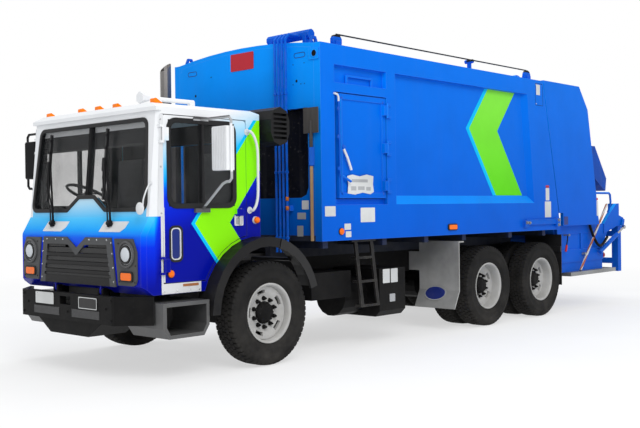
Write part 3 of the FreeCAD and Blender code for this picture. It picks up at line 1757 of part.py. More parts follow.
def make_cab_front(skin):
    """Front wall with the windshield's opening, the intake and the notch over the rails."""
    wide = cab_half_width + overrun
    front = skin.common(block(-front_reach, -front_post_line, -wide, wide, cab_bottom - overrun, cab_head + overrun))
    opening = cut(front_slab(windshield_outline(0), -cab_wall, cab_wall * 2), windshield_divider(0))
    intake = plate_x(grille_outline(grille_frame), -front_reach, -cab_nose + cab_wall * 2)
    notch = block(-rail_notch_front, 0, -rail_notch_half, rail_notch_half, cab_bottom - overrun, floor_low)
    pieces = [cut(front, [opening, intake, notch])]
    for piece in [tilt_lug()] + door_hinge_ends():
        pieces.extend(both(piece))
    hole = bore_y(-tilt_place, tilt_height, tilt_pin_radius, -cab_half_width, cab_half_width)
    save("cab_front", cut(fused(pieces), hole))


def make_cab_shell(skin):
    """Sills, roof rails and rear wall with its window."""
    wide = cab_half_width + overrun
    shell = skin.common(block(-front_post_line + seat_gap, cab_rear + overrun, -wide, wide,
                              cab_bottom - overrun, cab_head + overrun))
    door_hole = block(-front_post_line - overrun, -door_rear + move_gap, -wide, -cab_half_width + door_wall * 2,
                      door_bottom - move_gap, door_top + move_gap)
    door_hole = cut(door_hole, fender_cylinder(fender_radius + door_arch_clear - move_gap, -wide, wide))
    window = plate_x([
        (-back_window_half, back_window_bottom, back_window_corner),
        (back_window_half, back_window_bottom, back_window_corner),
        (back_window_half, back_window_top, back_window_corner),
        (-back_window_half, back_window_top, back_window_corner),
    ], -cab_wall * 2, cab_rear + overrun)
    tunnel_hole = block(-cab_wall * 2, cab_rear + overrun, -tunnel_half, tunnel_half, cab_bottom, tunnel_top)
    save("cab_shell", cut(shell, both(door_hole) + [window, tunnel_hole]))


def make_cab_walls():
    """The cab's skin, split into front wall and shell at the front posts."""
    wide = cab_half_width + overrun
    skin = cut(cab_skin(), fender_cylinder(fender_radius, -wide, wide))
    make_cab_front(skin)
    make_cab_shell(skin)


def make_cab_roof():
    """Crowned roof lid over the cab's walls, with the horn along its left side."""
    half = cab_half_width
    low = cab_head + seat_gap
    section = [
        (-half, low), (-half, roof_edge), (-half + roof_edge_inset, roof_crown),
        (half - roof_edge_inset, roof_crown), (half, roof_edge), (half, low),
    ]
    lid = plate_x(section, -roof_front, cab_rear)
    wide = half + overrun
    front = -roof_front - overrun
    trim = plate_y([
        (front, low - overrun), (-roof_front, low - overrun), (-roof_front, roof_edge),
        (-roof_front + roof_front_slope, roof_crown + overrun), (front, roof_crown + overrun),
    ], -wide, wide)
    hollow = block(-cab_head_front + cab_wall, cab_rear - cab_wall, -half + cab_wall, half - cab_wall,
                   low - overrun, roof_edge)
    save("cab_roof", fused([cut(lid, [trim, hollow])] + horn()))


def horn():
    """Trumpet horn on two feet."""
    front = vec(-horn_front, -horn_offset, horn_height)
    throat = vec(-horn_front + horn_flare, -horn_offset, horn_height)
    rear = vec(-horn_rear, -horn_offset, horn_height)
    pieces = [rod(throat, rear, horn_radius, small_sides), taper(front, throat, horn_mouth, horn_radius, small_sides)]
    for place in (-horn_rear - horn_foot_length, -horn_rear - horn_foot_length - horn_foot_spacing):
        pieces.append(block(place, place + horn_foot_length, -horn_offset - horn_radius, -horn_offset + horn_radius,
                            roof_crown, horn_height))
    return pieces


def make_cab_floor():
    """Floor pan, seat riser over the wheels and the engine tunnel."""
    half = cab_half_width - cab_wall - seat_gap
    wall = floor_wall
    front = -cab_nose + cab_wall + seat_gap
    back = cab_rear - cab_wall - seat_gap
    step = -riser_front - riser_run
    pan = plate_y([
        (front, floor_low), (step + wall, floor_low), (wall - riser_front, riser_top - wall),
        (back, riser_top - wall), (back, riser_top), (-riser_front, riser_top), (step, floor_low + wall),
        (front, floor_low + wall),
    ], -half, half)
    cover = block(front, back, -tunnel_half - tunnel_wall, tunnel_half + tunnel_wall, floor_low,
                  tunnel_top + tunnel_wall)
    inside = block(front - overrun, back + overrun, -tunnel_half, tunnel_half, floor_low - overrun, tunnel_top)
    whole = cut(fused([pan, cover]), inside).common(cab_solid(cab_wall + seat_gap))
    pieces = [whole]
    for place in foot_places:
        pieces.extend(both(block(place, place + foot_length, -tunnel_half - tunnel_wall, -foot_inner,
                                 rail_top + seat_gap, foot_top)))
    save("cab_floor", fused(pieces))


def make_windshield():
    """Two panes either side of the divider, set in the wall's thickness."""
    pane = front_slab(windshield_outline(seat_gap), glass_depth, glass_depth + glass_thickness)
    save("windshield", cut(pane, windshield_divider(seat_gap)))


def bezel():
    """Left headlamp bezel with its round and oblong wells."""
    face = -cab_nose - seat_gap
    plate = plate_x([
        (-bezel_inner_bottom, bezel_bottom), (-bezel_inner_top, bezel_top), (-bezel_outer + bezel_corner, bezel_top),
        (-bezel_outer, bezel_shoulder), (-bezel_outer, bezel_bottom, bezel_corner),
    ], face - grille_proud, face)
    lamp_hole = bore(vec(face - overrun * 2, -lamp_offset, lamp_height),
                     vec(face + overrun, -lamp_offset, lamp_height), lamp_radius, large_sides)
    gap = seat_gap
    turn_hole = block(face - overrun * 2, face + overrun, -lamp_offset - turn_half_width - gap,
                      -lamp_offset + turn_half_width + gap, turn_height - turn_half_height - gap,
                      turn_height + turn_half_height + gap)
    return cut(plate, [lamp_hole, turn_hole])


def grille():
    """Grille surround with its slats."""
    face = -cab_nose - seat_gap
    proud = face - grille_proud
    ring = cut(plate_x(grille_outline(0), proud, face),
               plate_x(grille_outline(grille_frame), proud - overrun, face + overrun))
    pieces = [ring]
    for height in slat_heights:
        share = (grille_top - height) / (grille_top - grille_bottom)
        half = grille_half_top + share * (grille_half_bottom - grille_half_top) - grille_frame / 2
        pieces.append(block(proud, face, -half, half, height - slat_half_height, height + slat_half_height))
    return fused(pieces)


def wiper(offset):
    """Wiper arm from its pad on the brow up over the glass."""
    lean = (cab_waist_front - cab_head_front) / (cab_head - cab_waist)
    foot = -cab_waist_front + (wiper_foot - cab_waist) * lean - wiper_stand_off
    tip = -cab_waist_front + (wiper_top - cab_waist) * lean - wiper_stand_off / 2
    arm = rod(vec(foot, offset, wiper_foot), vec(tip, offset + wiper_sweep, wiper_top), wiper_radius, small_sides)
    pad = block(foot - wiper_pad_half / 2, foot + wiper_pad_half * 2, offset - wiper_pad_half,
                offset + wiper_pad_half, wiper_foot - wiper_pad_height, wiper_foot)
    return fused([arm, cut(pad, cab_solid(-seat_gap))])


def make_cab_trim():
    """Grille, headlamp bezels, wiper arms and the cab's halves of the front fenders."""
    band = fender(angle_at_place(fender_split), math.pi - angle_at_height(fender_front_foot), front_fender_sides)
    pieces = [grille()] + both(bezel()) + both(band) + [wiper(-wiper_offset), wiper(wiper_offset)]
    save("cab_trim", pieces)


def roof_lamp(offset):
    """Wedge-shaped marker lamp on the roof's front edge."""
    low = roof_crown + seat_gap
    front = -roof_lamp_front
    return plate_y([
        (front, low), (front + roof_lamp_length, low), (front + roof_lamp_rise, low + roof_lamp_height),
        (front, low + roof_lamp_height - roof_lamp_rise / 2),
    ], offset - roof_lamp_half_width, offset + roof_lamp_half_width)


def make_cab_lamps():
    """Headlamps and turn lamps in their bezels, and the roof's marker lamps."""
    face = -cab_nose - seat_gap
    head = rod(vec(face, -lamp_offset, lamp_height), vec(face - lamp_proud, -lamp_offset, lamp_height),
               lamp_radius, large_sides)
    turn = block(face - lamp_proud, face, -lamp_offset - turn_half_width, -lamp_offset + turn_half_width,
                 turn_height - turn_half_height, turn_height + turn_half_height)
    pieces = both(head) + both(turn)
    for offset in roof_lamp_offsets:
        pieces.extend(both(roof_lamp(offset)) if offset else [roof_lamp(offset)])
    save("cab_lamps", pieces)


def steering_wheel():
    """Steering wheel and column on the right."""
    ring_profile = [
        (steering_radius + steering_tube, 0), (steering_radius, steering_tube),
        (steering_radius - steering_tube, 0), (steering_radius, -steering_tube),
    ]
    ring = turned(ring_profile, 1, 0, 0, large_sides)
    spoke = rod(vec(0, 0, -steering_radius), vec(0, 0, steering_radius), steering_tube / 2, small_sides)
    column = bar_y(0, 0, steering_column_radius, -steering_column_length, steering_tube, small_sides)
    whole = fused([ring, spoke, column])
    whole.rotate(ORIGIN, X_AXIS, 90)
    whole.rotate(ORIGIN, Y_AXIS, steering_tilt_degrees)
    whole.translate(vec(-steering_place, steering_offset, steering_height))
    return whole


def make_cab_interior():
    """Dashboard, steering wheel and the seat bases."""
    dash = plate_y([
        (-cab_nose, dash_bottom), (-dash_rear, dash_bottom, dash_corner),
        (-dash_rear, dash_top, dash_corner), (-cab_nose, dash_top),
    ], -dash_half_width, dash_half_width)
    dash = dash.common(cab_solid(cab_wall + seat_gap))
    cover = block(-cab_nose, 0, -tunnel_half - tunnel_wall - seat_gap, tunnel_half + tunnel_wall + seat_gap,
                  0, tunnel_top + tunnel_wall + seat_gap)
    pieces = [fused([cut(dash, cover), steering_wheel()])]
    pieces.extend(both(block(-seat_front, -seat_rear, -seat_offset - seat_half_width, -seat_offset + seat_half_width,
                             riser_top + seat_gap, seat_base_top)))
    save("cab_interior", pieces)


def seat():
    """Left seat's cushion and back rest."""
    low = seat_base_top + seat_gap
    high = seat_base_top + cushion_thickness
    y0 = -seat_offset - seat_half_width
    y1 = -seat_offset + seat_half_width
    corner = cushion_corner
    cushion = plate_y([
        (-seat_front, low, corner), (-seat_rear, low), (-seat_rear, high), (-seat_front, high, corner),
    ], y0, y1)
    back_low = high + seat_gap
    back = plate_x([
        (y0, back_low), (y1, back_low), (y1 - back_taper, back_top, corner), (y0 + back_taper, back_top, corner),
    ], -seat_rear - back_thickness, -seat_rear)
    return [cushion, back]


def make_seats():
    left = seat()
    save("seats", left + [mirrored(piece) for piece in left])


# Doors and mirrors

def window_prism(shrink, y0, y1):
    """Upper window opening of the left door, with the bar between its panes left standing."""
    s = shrink
    corner = window_corner
    whole = plate_y([
        (-window_front + s, window_bottom + s, corner), (-window_front + s, window_top - s, corner),
        (-window_rear - s, window_top - s, corner), (-window_rear - s, window_bottom + s, corner),
    ], y0, y1)
    return cut(whole, block(-window_divider - window_divider_half - s, -window_divider + window_divider_half + s,
                            y0, y1, window_bottom, window_top))


def low_window_prism(shrink, y0, y1):
    """Low window opening ahead of the fender in the left door."""
    s = shrink
    corner = low_window_corner
    return plate_y([
        (-low_window_front + s, low_window_bottom + s, corner), (-low_window_front + s, low_window_top - s, corner),
        (-low_window_rear - s, low_window_top - s, corner), (-low_window_rear - s, low_window_bottom + s, corner),
    ], y0, y1)


def door_leaf():
    """Left door with its windows cut, arched over the fender."""
    leaf = plate_y([
        (-door_front, door_bottom, door_corner), (-door_front, door_top, door_corner),
        (-door_rear, door_top, door_corner), (-door_rear, door_bottom),
    ], -cab_half_width, -cab_half_width + door_wall)
    y0 = -cab_half_width - overrun
    y1 = -cab_half_width + door_wall + overrun
    return cut(leaf, [fender_cylinder(fender_radius + door_arch_clear, y0, y1), window_prism(0, y0, y1),
                      low_window_prism(0, y0, y1)])


def door_fittings():
    """Hinge knuckles and the pull handle on the left door."""
    y = -cab_half_width - hinge_stand_off
    half = door_hinge_radius / 2
    pieces = []
    for height in door_hinge_heights:
        low = height - door_hinge_half
        high = height + door_hinge_half
        pieces.append(rod(vec(-door_front, y, low), vec(-door_front, y, high), door_hinge_radius, small_sides))
        pieces.append(block(-door_front + half, -door_front + door_hinge_half, y - half, -cab_half_width + half,
                            low, high))
    pieces.append(block(-handle_front, -handle_rear, -cab_half_width - handle_depth, -cab_half_width + half,
                        handle_bottom, handle_top))
    return pieces


def make_doors():
    left = fused([door_leaf()] + door_fittings())
    save("door_left", left)
    save("door_right", mirrored(left))
    y0 = -cab_half_width + (door_wall - glass_thickness) / 2
    y1 = y0 + glass_thickness
    glass = [window_prism(seat_gap, y0, y1), low_window_prism(seat_gap, y0, y1)]
    save("door_glass_left", glass)
    save("door_glass_right", [mirrored(pane) for pane in glass])


def mirror(place):
    """Left mirror: head on a bowed tube that stands off the door."""
    face = -cab_half_width - seat_gap
    radius = mirror_arm_radius
    arm = bent_tube([
        vec(place, face, mirror_arm_top), vec(place, -mirror_arm_outer, mirror_arm_top),
        vec(place, -mirror_arm_outer, mirror_arm_elbow), vec(place, -mirror_arm_knee, mirror_arm_elbow),
        vec(place, face - mirror_foot_depth / 2, mirror_arm_low),
    ], radius, mirror_arm_bend)
    half = mirror_half_depth
    head = plate_z([
        (place - half, -mirror_outer, mirror_corner), (place + half, -mirror_outer),
        (place + half, -mirror_inner), (place - half, -mirror_inner, mirror_corner),
    ], mirror_bottom, mirror_top)
    reach = mirror_foot_half
    foot = block(place - reach, place + reach, face - mirror_foot_depth, face, mirror_arm_low - radius * 2,
                 mirror_arm_low + radius)
    top_foot = block(place - reach, place + reach, face - radius, face, mirror_arm_top - radius, mirror_arm_top + radius)
    return fused([arm, head, foot, top_foot])


def make_mirrors():
    save("mirror_left", mirror(mirror_place_left))
    save("mirror_right", mirrored(mirror(mirror_place_right)))


# Tailgate

def gate_side():
    """Left side sheet with its latch notch, the ledge over the hopper and the grab rail."""
    sheet = plate_y([
        (joint_line(body_top, joint_gap), gate_top), (gate_top_rear, gate_top),
        (gate_shoulder, gate_shoulder_height), (gate_waist, gate_waist_height),
        (gate_low_rear, gate_low_height), (gate_notch_rear, gate_low_height), (gate_notch_rear, gate_notch_top),
        (joint_line(gate_notch_top, joint_gap), gate_notch_top),
    ], -gate_half_width, -gate_half_width + gate_wall)
    ledge = block(gate_notch_rear, gate_low_rear - gate_wall, -gate_half_width + gate_wall, -hopper_inner,
                  gate_low_height, gate_low_height + gate_ledge_height)
    rail = bent_tube([
        vec(grab_start, -grab_offset_top, grab_top), vec(grab_bend_place, -grab_offset_top, grab_top),
        vec(grab_rear, -(grab_offset_top + grab_offset_low) / 2, grab_low),
        vec(grab_rear, -grab_offset_low, grab_foot),
    ], grab_radius, grab_bend)
    return [sheet, ledge, rail]


def gate_lug(side):
    """Hinge lug at the top of the tailgate."""
    y = side * gate_hinge_offset
    r = gate_lug_radius
    place = gate_hinge_place
    height = gate_hinge_height
    lug = plate_y([
        (place - r, height - r, r / 2), (place - r, height + r, r / 2), (place + r, height + r, r / 2),
        (place + gate_lug_run, gate_top), (place + gate_lug_run, gate_top - gate_cover_wall),
        (place + r, gate_top - gate_cover_wall),
    ], y - gate_lug_half, y + gate_lug_half)
    return cut(lug, bore_y(place, height, gate_pin_radius, y - gate_lug_half - overrun, y + gate_lug_half + overrun))


def make_tailgate():
    """Side sheets, top cover and hinge lugs of the tailgate."""
    wall = gate_cover_wall
    inner = gate_half_width - gate_wall
    start = joint_line(body_top, joint_gap)
    cover = plate_y([
        (start, gate_top - wall), (gate_top_rear - wall / 2, gate_top - wall),
        (gate_shoulder - wall, gate_shoulder_height), (gate_shoulder, gate_shoulder_height),
        (gate_top_rear, gate_top), (start, gate_top),
    ], -inner, inner)
    pieces = [cover, gate_lug(-1), gate_lug(1)]
    for piece in gate_side():
        pieces.extend(both(piece))
    save("tailgate_shell", fused(pieces))


def trough(inset):
    """Points along the hopper's curved floor from its front edge to its mouth."""
    return arc_points((hopper_front + inset, gate_low_height - seat_gap), (hopper_low_place, hopper_low + inset),
                      (hopper_mouth - inset, hopper_mouth_height), hopper_flats)


def lifter_bracket():
    """Left bracket behind the hopper with the ear that carries the bin lifter."""
    bracket = plate_y([
        (bracket_foot_place, bracket_foot_height), (housing_front, housing_bottom), (housing_rear, housing_bottom),
        (housing_rear, housing_top), (housing_front, housing_top), (bracket_top_place, bracket_top_height),
        (bracket_foot_place, gate_low_height),
    ], -housing_outer, -hopper_inner)
    box = block(housing_front, housing_rear, -hopper_inner, -housing_inner, housing_bottom, housing_top)
    ear = plate_y([
        (housing_rear, lifter_pin_height - ear_half_height * 2 + seat_gap),
        (lifter_pin_place + ear_half_height, lifter_pin_height - ear_half_height, ear_half_height / 2),
        (lifter_pin_place + ear_half_height, lifter_pin_height + ear_half_height, ear_half_height / 2),
        (housing_rear, lifter_pin_height + ear_half_height * 2),
    ], -housing_outer, -ear_inner)
    return [bracket, box, ear]


def hopper_side():
    """Left side plate with its rail, strip, rib and the trunnion for the lifting cylinder."""
    outer = -hopper_outer
    proud = outer - hopper_rail_wall
    top = gate_low_height - seat_gap
    plate = plate_y([
        (hopper_side_front, top), (hopper_skirt_front, hopper_skirt_top),
        (hopper_skirt_low_front, rear_step_top + seat_gap), (hopper_skirt_rear, rear_step_top + seat_gap),
        (hopper_skirt_rear, hopper_skirt_knee), (hopper_side_rear, hopper_side_rear_height),
        (hopper_side_rear, top),
    ], outer, -hopper_inner)
    rail = block(hopper_rail_front, hopper_skirt_rear, proud, outer, hopper_rail_bottom, hopper_rail_top)
    strip = block(hopper_side_front, hopper_strip_rear, proud, outer, hopper_strip_bottom, top)
    rib = block(hopper_rib_place, hopper_rib_place + hopper_rib_width, proud, outer,
                hopper_rail_top, hopper_strip_bottom)
    trunnion = bar_y(cylinder_foot_place, cylinder_foot_height, trunnion_radius,
                     -cylinder_offset - barrel_radius, outer)
    return [plate, rail, strip, rib, trunnion]


def make_hopper():
    """Curved trough between its side plates, with the mouth bar and the lifter's brackets."""
    inner = hopper_inner
    floor = plate_y(trough(0) + list(reversed(trough(hopper_wall))), -inner, inner)
    sill = block(sill_bar_front, hopper_mouth, -inner, inner, sill_bar_bottom, sill_bar_top)
    pieces = [floor, sill]
    for piece in hopper_side() + lifter_bracket():
        pieces.extend(both(piece))
    hole = bore_y(lifter_pin_place, lifter_pin_height, lifter_shaft_radius, -housing_outer - overrun,
                  housing_outer + overrun)
    save("hopper", cut(fused(pieces), hole))


def make_rear_step():
    """Rear riding step with slotted tread, its side walkways and the striped pole."""
    tread = block(rear_step_front, rear_step_rear, -rear_step_half_width, rear_step_half_width,
                  rear_step_bottom, rear_step_top)
    walk = block(side_step_front, rear_step_front, -rear_step_half_width, -side_step_inner,
                 rear_step_bottom, rear_step_top)
    slots = []
    pitch = rear_step_half_width * 2 / step_slot_count
    for i in range(step_slot_count):
        start = -rear_step_half_width + (i + (1 - step_slot_share) / 2) * pitch
        slots.append(block(rear_step_front + step_slot_margin, rear_step_rear - step_slot_margin, start,
                           start + pitch * step_slot_share, rear_step_bottom - overrun, rear_step_top + overrun))
    pole = rod(vec(pole_foot_place, -pole_foot_offset, rear_step_top + pole_radius),
               vec(pole_top_place, -pole_top_offset, pole_top_height), pole_radius, small_sides)
    clamp = block(pole_clamp_place, pole_clamp_rear, -pole_foot_offset, -hopper_outer - hopper_rail_wall - seat_gap,
                  pole_clamp_bottom, pole_clamp_top)
    save("rear_step", [fused([cut(tread, slots)] + both(walk))] + both(fused([pole, clamp])))


def make_gate_lamps():
    face = hopper_skirt_rear + seat_gap
    lamp = rod(vec(face, -gate_lamp_offset, gate_lamp_height),
               vec(face + gate_lamp_thickness, -gate_lamp_offset, gate_lamp_height), gate_lamp_radius)
    save("tailgate_lamps", both(lamp))


def along_slide(distance, across):
    """Point at a distance up the packer's slide from its pin and across behind it."""
    x = packer_pin_place - slide_run * distance + slide_fall * across
    z = packer_pin_height + slide_fall * distance + slide_run * across
    return x, z


def make_carriage():
    """Panel that slides between the sheets, with the cheeks and shaft for the blade."""
    panel = plate_y([
        along_slide(carriage_length, -carriage_front_depth), along_slide(carriage_length, carriage_rear_depth),
        along_slide(carriage_foot, carriage_rear_depth), along_slide(carriage_foot, -carriage_front_depth),
    ], -packer_half_width, packer_half_width)
    r = packer_lug
    x = packer_pin_place
    z = packer_pin_height
    cheek = plate_y([
        along_slide(cheek_rise, -carriage_front_depth), (x - r, z - r, r / 2), (x + r, z - r, r / 2),
        (x + r, z + r, r / 2), along_slide(cheek_rise, carriage_rear_depth),
    ], -packer_half_width, -blade_half_width - move_gap)
    shaft = bar_y(x, z, packer_pin_radius, -packer_half_width, packer_half_width)
    pad = plate_y([
        along_slide(carriage_length, -carriage_front_depth), along_slide(carriage_length, carriage_rear_depth),
        along_slide(carriage_foot, carriage_rear_depth), along_slide(carriage_foot, -carriage_front_depth),
    ], -gate_half_width + gate_wall + seat_gap, -packer_half_width)
    save("packer_carriage", fused([panel, shaft] + both(cheek) + both(pad)))


def make_blade():
    """Blade around the carriage's shaft, lifted open to the rear."""
    r = packer_lug
    x = packer_pin_place
    z = packer_pin_height
    blade = plate_y([
        (x, z - r, r / 2), (blade_inner, blade_inner_height), (blade_tip, blade_tip_height),
        (blade_rear, blade_rear_height), (blade_top_rear, blade_top_height), (blade_top_front, blade_top_height),
        (x + r, z + r / 2), (x, z + r, r / 2), (x - r, z, r / 2),
    ], -blade_half_width, blade_half_width)
    save("packer_blade", cut(blade, bore_y(x, z, packer_pin_radius, -packer_half_width, packer_half_width)))


def make_lifter():
    """Bin lifter: posts, cross bars, shafts and the levers that the cylinders push."""
    pin_x = lifter_pin_place
    pin_z = lifter_pin_height
    r = lifter_boss_radius
    post = block(post_front, post_rear, -post_outer, -post_inner, post_bottom, post_top)
    arm = plate_y([
        (post_front, post_top - overrun), (post_rear, post_top - overrun), (pin_x + r, pin_z),
        (pin_x + r, pin_z + r, r / 2), (pin_x - r, pin_z + r, r / 2), (pin_x - r, pin_z),
    ], -post_outer, -post_inner)
    shaft = bar_y(pin_x, pin_z, lifter_shaft_radius, -lever_outer, -post_inner)
    half = lever_half_width
    lever = plate_y([
        (pin_x - half, pin_z + half), (pin_x - lever_run - half, pin_z - lever_drop - half / 2),
        (pin_x - lever_run + half, pin_z - lever_drop - half), (pin_x + half, pin_z - half / 2),
        (pin_x + half, pin_z + half),
    ], -lever_outer, -lever_inner)
    pieces = both(post) + both(arm) + both(shaft) + both(lever)
    for height in bar_heights:
        pieces.append(block(post_front, post_front + bar_depth, -post_inner, post_inner, height - bar_half_height,
                            height + bar_half_height))
    save("lifter", fused(pieces))


def make_lifter_cylinders():
    """Barrels on the hopper's trunnions, and the rods that slide in them to the levers."""
    foot = vec(cylinder_foot_place, -cylinder_offset, cylinder_foot_height)
    eye = vec(lifter_pin_place - lever_run, -cylinder_offset, lifter_pin_height - lever_drop)
    way = vec(eye.x - foot.x, 0, eye.z - foot.z).normalize()
    mouth = foot + way * barrel_length
    barrel = rod(foot - way * barrel_radius, mouth, barrel_radius)
    hollow = bore(mouth - way * barrel_bore_depth, mouth + way * overrun, cylinder_rod_radius, small_sides)
    pin_hole = bore_y(foot.x, foot.z, trunnion_radius, foot.y - barrel_radius * 2, foot.y + barrel_radius * 2)
    save("lifter_barrels", both(cut(barrel, [hollow, pin_hole])))
    rod_eye = bar_y(eye.x, eye.z, rod_eye_radius, eye.y - rod_eye_half, eye.y + rod_eye_half)
    stem = rod(eye - way * cylinder_rod_length, eye, cylinder_rod_radius, small_sides)
    save("lifter_rods", both(fused([stem, rod_eye])))


def main():
    os.makedirs("parts", exist_ok=True)
    make_wheels()
    make_frame()
    make_bumper()
    make_engine()
    make_front_axle()
    make_knuckles()
    make_rear_axles()
    make_side_tanks()
    make_steps()
    make_fenders()
    make_exhaust()
    make_air_cleaner()
    make_body_floor()
    make_body_sides()
    make_body_roof()
    make_front_wall()
    make_ejector()
    make_access_door()
    make_hoist_gear()
    make_shovel()
    make_body_lamps()
    make_cab_walls()
    make_cab_roof()
    make_cab_floor()
    make_windshield()
    make_cab_trim()
    make_cab_lamps()
    make_cab_interior()
    make_seats()
    make_doors()
    make_mirrors()
    make_tailgate()
    make_hopper()
    make_rear_step()
    make_gate_lamps()
    make_carriage()
    make_blade()
    make_lifter()
    make_lifter_cylinders()


main()
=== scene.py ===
import bpy, bmesh, json, math
from mathutils import Vector, Matrix


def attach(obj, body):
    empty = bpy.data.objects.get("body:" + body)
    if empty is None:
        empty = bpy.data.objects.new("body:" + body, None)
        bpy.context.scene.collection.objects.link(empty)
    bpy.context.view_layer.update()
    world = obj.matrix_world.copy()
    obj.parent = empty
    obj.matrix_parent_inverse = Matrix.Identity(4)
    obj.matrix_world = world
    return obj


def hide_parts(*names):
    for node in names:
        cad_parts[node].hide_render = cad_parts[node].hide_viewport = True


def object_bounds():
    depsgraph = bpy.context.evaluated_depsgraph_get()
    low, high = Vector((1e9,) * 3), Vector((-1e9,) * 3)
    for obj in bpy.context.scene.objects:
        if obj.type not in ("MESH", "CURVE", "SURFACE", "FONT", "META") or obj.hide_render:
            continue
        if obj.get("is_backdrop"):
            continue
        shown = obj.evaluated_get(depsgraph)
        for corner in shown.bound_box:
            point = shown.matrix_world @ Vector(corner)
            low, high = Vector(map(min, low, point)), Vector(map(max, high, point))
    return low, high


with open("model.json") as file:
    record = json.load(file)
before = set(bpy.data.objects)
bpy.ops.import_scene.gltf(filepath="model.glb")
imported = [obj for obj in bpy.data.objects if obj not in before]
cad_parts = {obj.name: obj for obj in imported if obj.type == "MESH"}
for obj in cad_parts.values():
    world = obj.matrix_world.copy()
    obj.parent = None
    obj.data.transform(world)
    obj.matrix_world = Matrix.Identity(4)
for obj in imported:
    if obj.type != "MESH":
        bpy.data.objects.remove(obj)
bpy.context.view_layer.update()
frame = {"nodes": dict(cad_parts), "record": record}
nodes = frame["nodes"]
SHIFT = 3.262          # the front axle stands this far in front of the frame's origin


# Materials

class Graph:
    """Node tree of one material, with short calls for its nodes."""

    def __init__(self, name):
        self.material = bpy.data.materials.new(name)
        self.material.use_nodes = True
        self.tree = self.material.node_tree
        self.tree.nodes.clear()
        self.out = self.new("ShaderNodeOutputMaterial")
        self.shader = self.new("ShaderNodeBsdfPrincipled")
        self.link(self.shader.outputs[0], self.out.inputs[0])
        source = self.new("ShaderNodeTexCoord").outputs
        self.coords, self.normal = source["Object"], source["Normal"]
        self.axes = self.facing = None

    def new(self, kind):
        return self.tree.nodes.new(kind)

    def link(self, a, b):
        self.tree.links.new(a, b)

    def put(self, socket, value):
        if isinstance(value, bpy.types.NodeSocket):
            self.link(value, socket)
        elif isinstance(value, tuple) and len(value) == 3 and socket.type == "RGBA":
            socket.default_value = (*value, 1)
        else:
            socket.default_value = value

    def give(self, name, value):
        """A value, a colour or a node's output for one of the shader's inputs."""
        self.put(self.shader.inputs[name], value)

    def xyz(self):
        if self.axes is None:
            split = self.new("ShaderNodeSeparateXYZ")
            self.link(self.coords, split.inputs[0])
            self.axes = split.outputs
        return self.axes

    def faces(self):
        """The part's own normal, as x, y and z."""
        if self.facing is None:
            split = self.new("ShaderNodeSeparateXYZ")
            self.link(self.normal, split.inputs[0])
            self.facing = split.outputs
        return self.facing

    def math(self, operation, a, b=0.0, clamp=False):
        node = self.new("ShaderNodeMath")
        node.operation = operation
        node.use_clamp = clamp
        self.put(node.inputs[0], a)
        self.put(node.inputs[1], b)
        return node.outputs[0]

    def times(self, a, b):
        return self.math("MULTIPLY", a, b)

    def over(self, a, b):
        return self.math("DIVIDE", a, b)

    def plus(self, a, b):
        return self.math("ADD", a, b)

    def minus(self, a, b):
        return self.math("SUBTRACT", a, b)

    def most(self, a, b):
        return self.math("MAXIMUM", a, b)

    def least(self, a, b):
        return self.math("MINIMUM", a, b)

    def above(self, a, b):
        """1 where a is more than b."""
        return self.math("GREATER_THAN", a, b)

    def below(self, a, b):
        """1 where a is less than b."""
        return self.math("LESS_THAN", a, b)

    def bare(self, a):
        """The value without its sign."""
        return self.math("ABSOLUTE", a)

    def part(self, a):
        """What is behind the decimal point."""
        return self.math("FRACT", a)

    def between(self, value, low, high):
        """0 below low and 1 above high."""
        node = self.new("ShaderNodeMapRange")
        self.put(node.inputs[0], value)
        node.inputs[1].default_value = low
        node.inputs[2].default_value = high
        return node.outputs[0]

    def mix(self, share, a, b, blend="MIX"):
        node = self.new("ShaderNodeMix")
        node.data_type = "RGBA"
        node.blend_type = blend
        self.put(node.inputs[0], share)
        self.put(node.inputs[6], a)
        self.put(node.inputs[7], b)
        return node.outputs[2]

    def ramp(self, value, stops):
        node = self.new("ShaderNodeValToRGB")
        self.link(value, node.inputs[0])
        band = node.color_ramp
        while len(band.elements) < len(stops):
            band.elements.new(0.5)
        for element, (place, colour) in zip(band.elements, stops):
            element.position = place
            element.color = (*colour, 1)
        return node.outputs[0]

    def noise(self, scale, detail=3.0, rough=0.55, stretch=None):
        node = self.new("ShaderNodeTexNoise")
        node.inputs["Scale"].default_value = scale
        node.inputs["Detail"].default_value = detail
        node.inputs["Roughness"].default_value = rough
        vector = self.coords
        if stretch:
            mapping = self.new("ShaderNodeMapping")
            mapping.inputs["Scale"].default_value = stretch
            self.link(vector, mapping.inputs[0])
            vector = mapping.outputs[0]
        self.link(vector, node.inputs["Vector"])
        return node.outputs[0]

    def relief(self, height, strength, distance):
        node = self.new("ShaderNodeBump")
        node.inputs["Strength"].default_value = strength
        node.inputs["Distance"].default_value = distance
        self.link(height, node.inputs["Height"])
        self.link(node.outputs[0], self.shader.inputs["Normal"])

    def edge(self, radius):
        """1 on the part's outer edges."""
        bevel = self.new("ShaderNodeBevel")
        bevel.samples = 4
        bevel.inputs[0].default_value = radius
        plain = self.new("ShaderNodeNewGeometry")
        dot = self.new("ShaderNodeVectorMath")
        dot.operation = "DOT_PRODUCT"
        self.link(bevel.outputs[0], dot.inputs[0])
        self.link(plain.outputs["Normal"], dot.inputs[1])
        return self.between(dot.outputs["Value"], 0.985, 0.90)


DUST = (0.23, 0.21, 0.185)
WHITE = (0.80, 0.81, 0.82)
M = {}                 # materials by name


